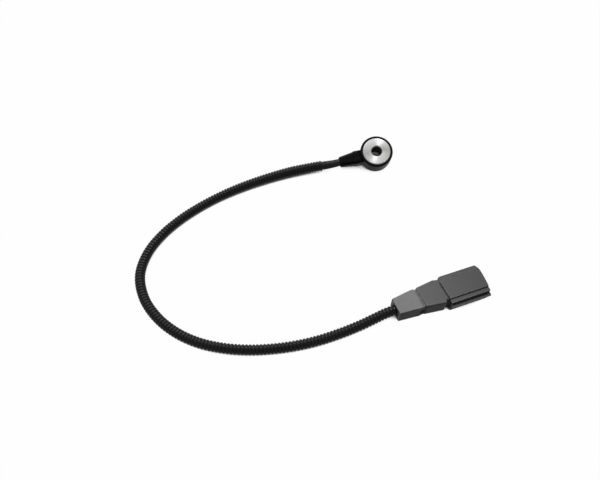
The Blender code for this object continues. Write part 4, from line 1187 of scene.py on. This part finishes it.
# A row has colour, cloud colour, roughness, grain scale, grain depth, worn colour and metallic.
# Then come the nodes that it dresses.
inner_finishes = {
    "dark_steel": (
        (rgb(0.30), rgb(0.24), (0.34, 0.46), 7000.0, 0.000006, rgb(0.55), 1.0),
        ("seismic_mass", "retaining_nut"),
    ),
    "spring_steel": (
        (paint(0.36, 0.34, 0.30), paint(0.28, 0.26, 0.24), (0.28, 0.38), 8000.0, 0.000004, None, 1.0),
        ("disc_spring",),
    ),
    "contact_brass": (
        (paint(0.62, 0.45, 0.18), paint(0.52, 0.36, 0.14), (0.26, 0.38), 7000.0, 0.000004, None, 1.0),
        ("front_contact", "rear_contact"),
    ),
    "tinned_brass": (
        (rgb(0.60, 0.02), rgb(0.50, 0.04), (0.24, 0.38), 6000.0, 0.000005, rgb(0.7), 1.0),
        tuple(f"{lane}_terminal" for lane in lanes),
    ),
    "insulating_film": (
        (paint(0.55, 0.33, 0.10), paint(0.48, 0.27, 0.07), (0.35, 0.5), 4000.0),
        ("insulating_tube", "front_insulator", "rear_insulator"),
    ),
    "piezo_ceramic": (
        (paint(0.58, 0.54, 0.44), paint(0.50, 0.46, 0.38), (0.55, 0.7), 9000.0),
        ("piezo_ring",),
    ),
    "lock_grey": (
        (rgb(0.30, -0.01), rgb(0.34, -0.01), (0.44, 0.56), 3200.0, 0.000012, rgb(0.45)),
        ("terminal_lock",),
    ),
    "seal_rubber": (
        (paint(0.25, 0.09, 0.03), paint(0.20, 0.07, 0.025), (0.5, 0.66), 4500.0),
        tuple(f"{lane}_seal" for lane in lanes),
    ),
    "core_brown": (
        (paint(0.12, 0.05, 0.02), paint(0.10, 0.04, 0.016), (0.36, 0.5), 4500.0, 0.000006),
        ("signal_wire_head", "signal_wire_plug"),
    ),
    "core_white": (
        (rgb(0.60, 0.01), rgb(0.54, 0.02), (0.36, 0.5), 4500.0, 0.000006),
        ("ground_wire_head", "ground_wire_plug"),
    ),
    "core_black": ((rgb(0.02), rgb(0.026), (0.36, 0.5), 4500.0, 0.000006), ("shield_wire_plug",)),
}
for finish_name, (looks, dressed) in inner_finishes.items():
    finish = plastic(finish_name, *looks)
    for name in dressed:
        slots = nodes[name].data.materials
        slots.clear()
        slots.append(finish)
print("inner finishes:", len(inner_finishes))

# %% [markdown]
# ## Floor and light
# The photograph is taken on a white ground in soft light from behind, which leaves the near sides dark.
# The floor looks white to the camera and in reflections, except close to the part, where little of the sky
# reaches it and an occlusion mask lets its own dark colour show as a painted soft contact shadow. Under the
# side of the head that leans away, a round patch of painted shadow lets the dark colour show as well.

# %% Floor
FLOOR_SIZE = 12.0
FLOOR_ALBEDO = 0.06
WHITE_SHARE = 0.99
SKY_REACH = 0.05
SKY_RANGE = (0.2, 0.38)
# The head's shade place and radius give a round patch of painted shadow on the floor under the leaning
# head.
HEAD_SHADE_RADIUS = 0.0065
HEAD_SHADE_PLACE = head_frame @ Vector((0.003, 0.005, SLEEVE_END))
HEAD_SHADE_PLACE.z = 0.0


def shown_rays(tree):
    """One for rays from the camera, from gloss and through glass, and zero for all others."""
    rays = add(tree, "ShaderNodeLightPath").outputs
    seen = math_node(tree, "MAXIMUM", rays["Is Camera Ray"], rays["Is Glossy Ray"])
    return math_node(tree, "MAXIMUM", seen, rays["Is Transmission Ray"])


def floor_material():
    """Dark matt floor that shows nearly white to the camera, in reflections and through glass, apart from
    painted shadow.
    """
    made = bpy.data.materials.new("pale_floor")
    made.use_nodes = True
    tree = made.node_tree
    tree.nodes.clear()
    diffuse = add(tree, "ShaderNodeBsdfDiffuse", {"Color": rgb(FLOOR_ALBEDO)})
    glow = add(tree, "ShaderNodeEmission", {"Color": rgb(1.0), "Strength": 1.0})
    seen = shown_rays(tree)
    # Painted contact shadow: the occlusion mask keeps the floor dark close to the part.
    open_sky = add(tree, "ShaderNodeAmbientOcclusion", {"Distance": SKY_REACH}, samples=16).outputs["AO"]
    outside_contact_shadow = ranged(tree, open_sky, *SKY_RANGE, 0.0, WHITE_SHARE, interpolation_type="SMOOTHSTEP")
    # Painted shadow: the floor stays dark within a round patch under the leaning head.
    spots = {0: object_place(tree), 1: HEAD_SHADE_PLACE}
    away = add(tree, "ShaderNodeVectorMath", spots, operation="DISTANCE").outputs["Value"]
    shade_edge = (HEAD_SHADE_RADIUS, 1.5 * HEAD_SHADE_RADIUS)
    clear = ranged(tree, away, *shade_edge, interpolation_type="SMOOTHSTEP")
    share = math_node(tree, "MULTIPLY", seen, math_node(tree, "MULTIPLY", outside_contact_shadow, clear))
    both = add(tree, "ShaderNodeMixShader", {0: share, 1: diffuse.outputs[0], 2: glow.outputs[0]})
    add(tree, "ShaderNodeOutputMaterial", {"Surface": both.outputs[0]})
    return made


floor_shape = bmesh.new()
half = FLOOR_SIZE / 2
floor_corners = ((-half, -half), (half, -half), (half, half), (-half, half))
floor_shape.faces.new([floor_shape.verts.new((x, y, 0.0)) for x, y in floor_corners])
floor = mesh_object("floor", floor_shape, floor_material())

# %% [markdown]
# One large soft lamp hangs high behind the part, and a small one makes the sharp highlights on the
# conduit and the steel. The world adds a low even light, and shows white to the camera and in
# reflections.

# %% Lamps and world
FILL_STRENGTH = 0.03


def area_lamp(name, place, target, size, power):
    """A square soft lamp that points at a target."""
    data = bpy.data.lights.new(name, "AREA")
    data.size = size
    data.energy = power
    lamp = placed(name, data)
    lamp.location = place
    aim = Vector(target) - Vector(place)
    lamp.rotation_euler = aim.to_track_quat("-Z", "Y").to_euler()


area_lamp("high_lamp", (-0.10, 1.25, 1.2), (-0.10, 1.25, 0.0), 2.4, 46.0)
area_lamp("small_lamp", (0.34, 0.30, 1.106), (0.0, 0.0, 0.0), 0.14, 3.2)

world = bpy.data.worlds.new("soft world")
scene.world = world
world.use_nodes = True
world_tree = world.node_tree
world_tree.nodes.clear()
fill = add(world_tree, "ShaderNodeBackground", {"Color": rgb(1.0), "Strength": FILL_STRENGTH})
white = add(world_tree, "ShaderNodeBackground", {"Color": rgb(1.0), "Strength": 1.0})
mix = {0: shown_rays(world_tree), 1: fill.outputs[0], 2: white.outputs[0]}
sky = add(world_tree, "ShaderNodeMixShader", mix)
add(world_tree, "ShaderNodeOutputWorld", {"Surface": sky.outputs[0]})

scene.view_settings.view_transform = "Standard"

# %% [markdown]
# ## The pieces on one body
# Every piece rides on the one body and stands for the node that it replaces, which is hidden. The pieces
# that are on the lead are gathered in a list.

# %% Pieces on one body, and the list of the lead's pieces
replaced = {
    "mounting_sleeve": (sleeve, "turned_steel"),
    "sensor_housing": (head_moulding, "black_moulding"),
    "cable_jacket": (jacket, "jacket_black"),
    "conduit": (conduit, "conduit_black"),
    "rear_cover": (cover, "cover_grey"),
    "connector_housing": (housing, "housing_grey"),
}
for node_name, (piece, slot_name) in replaced.items():
    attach(piece, "root")
    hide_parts(node_name)

on_the_lead = [jacket, cover, housing, nodes["terminal_lock"]]
for lane in lanes:
    on_the_lead += [nodes[f"{lane}_terminal"], nodes[f"{lane}_seal"], nodes[f"{lane}_wire_plug"]]
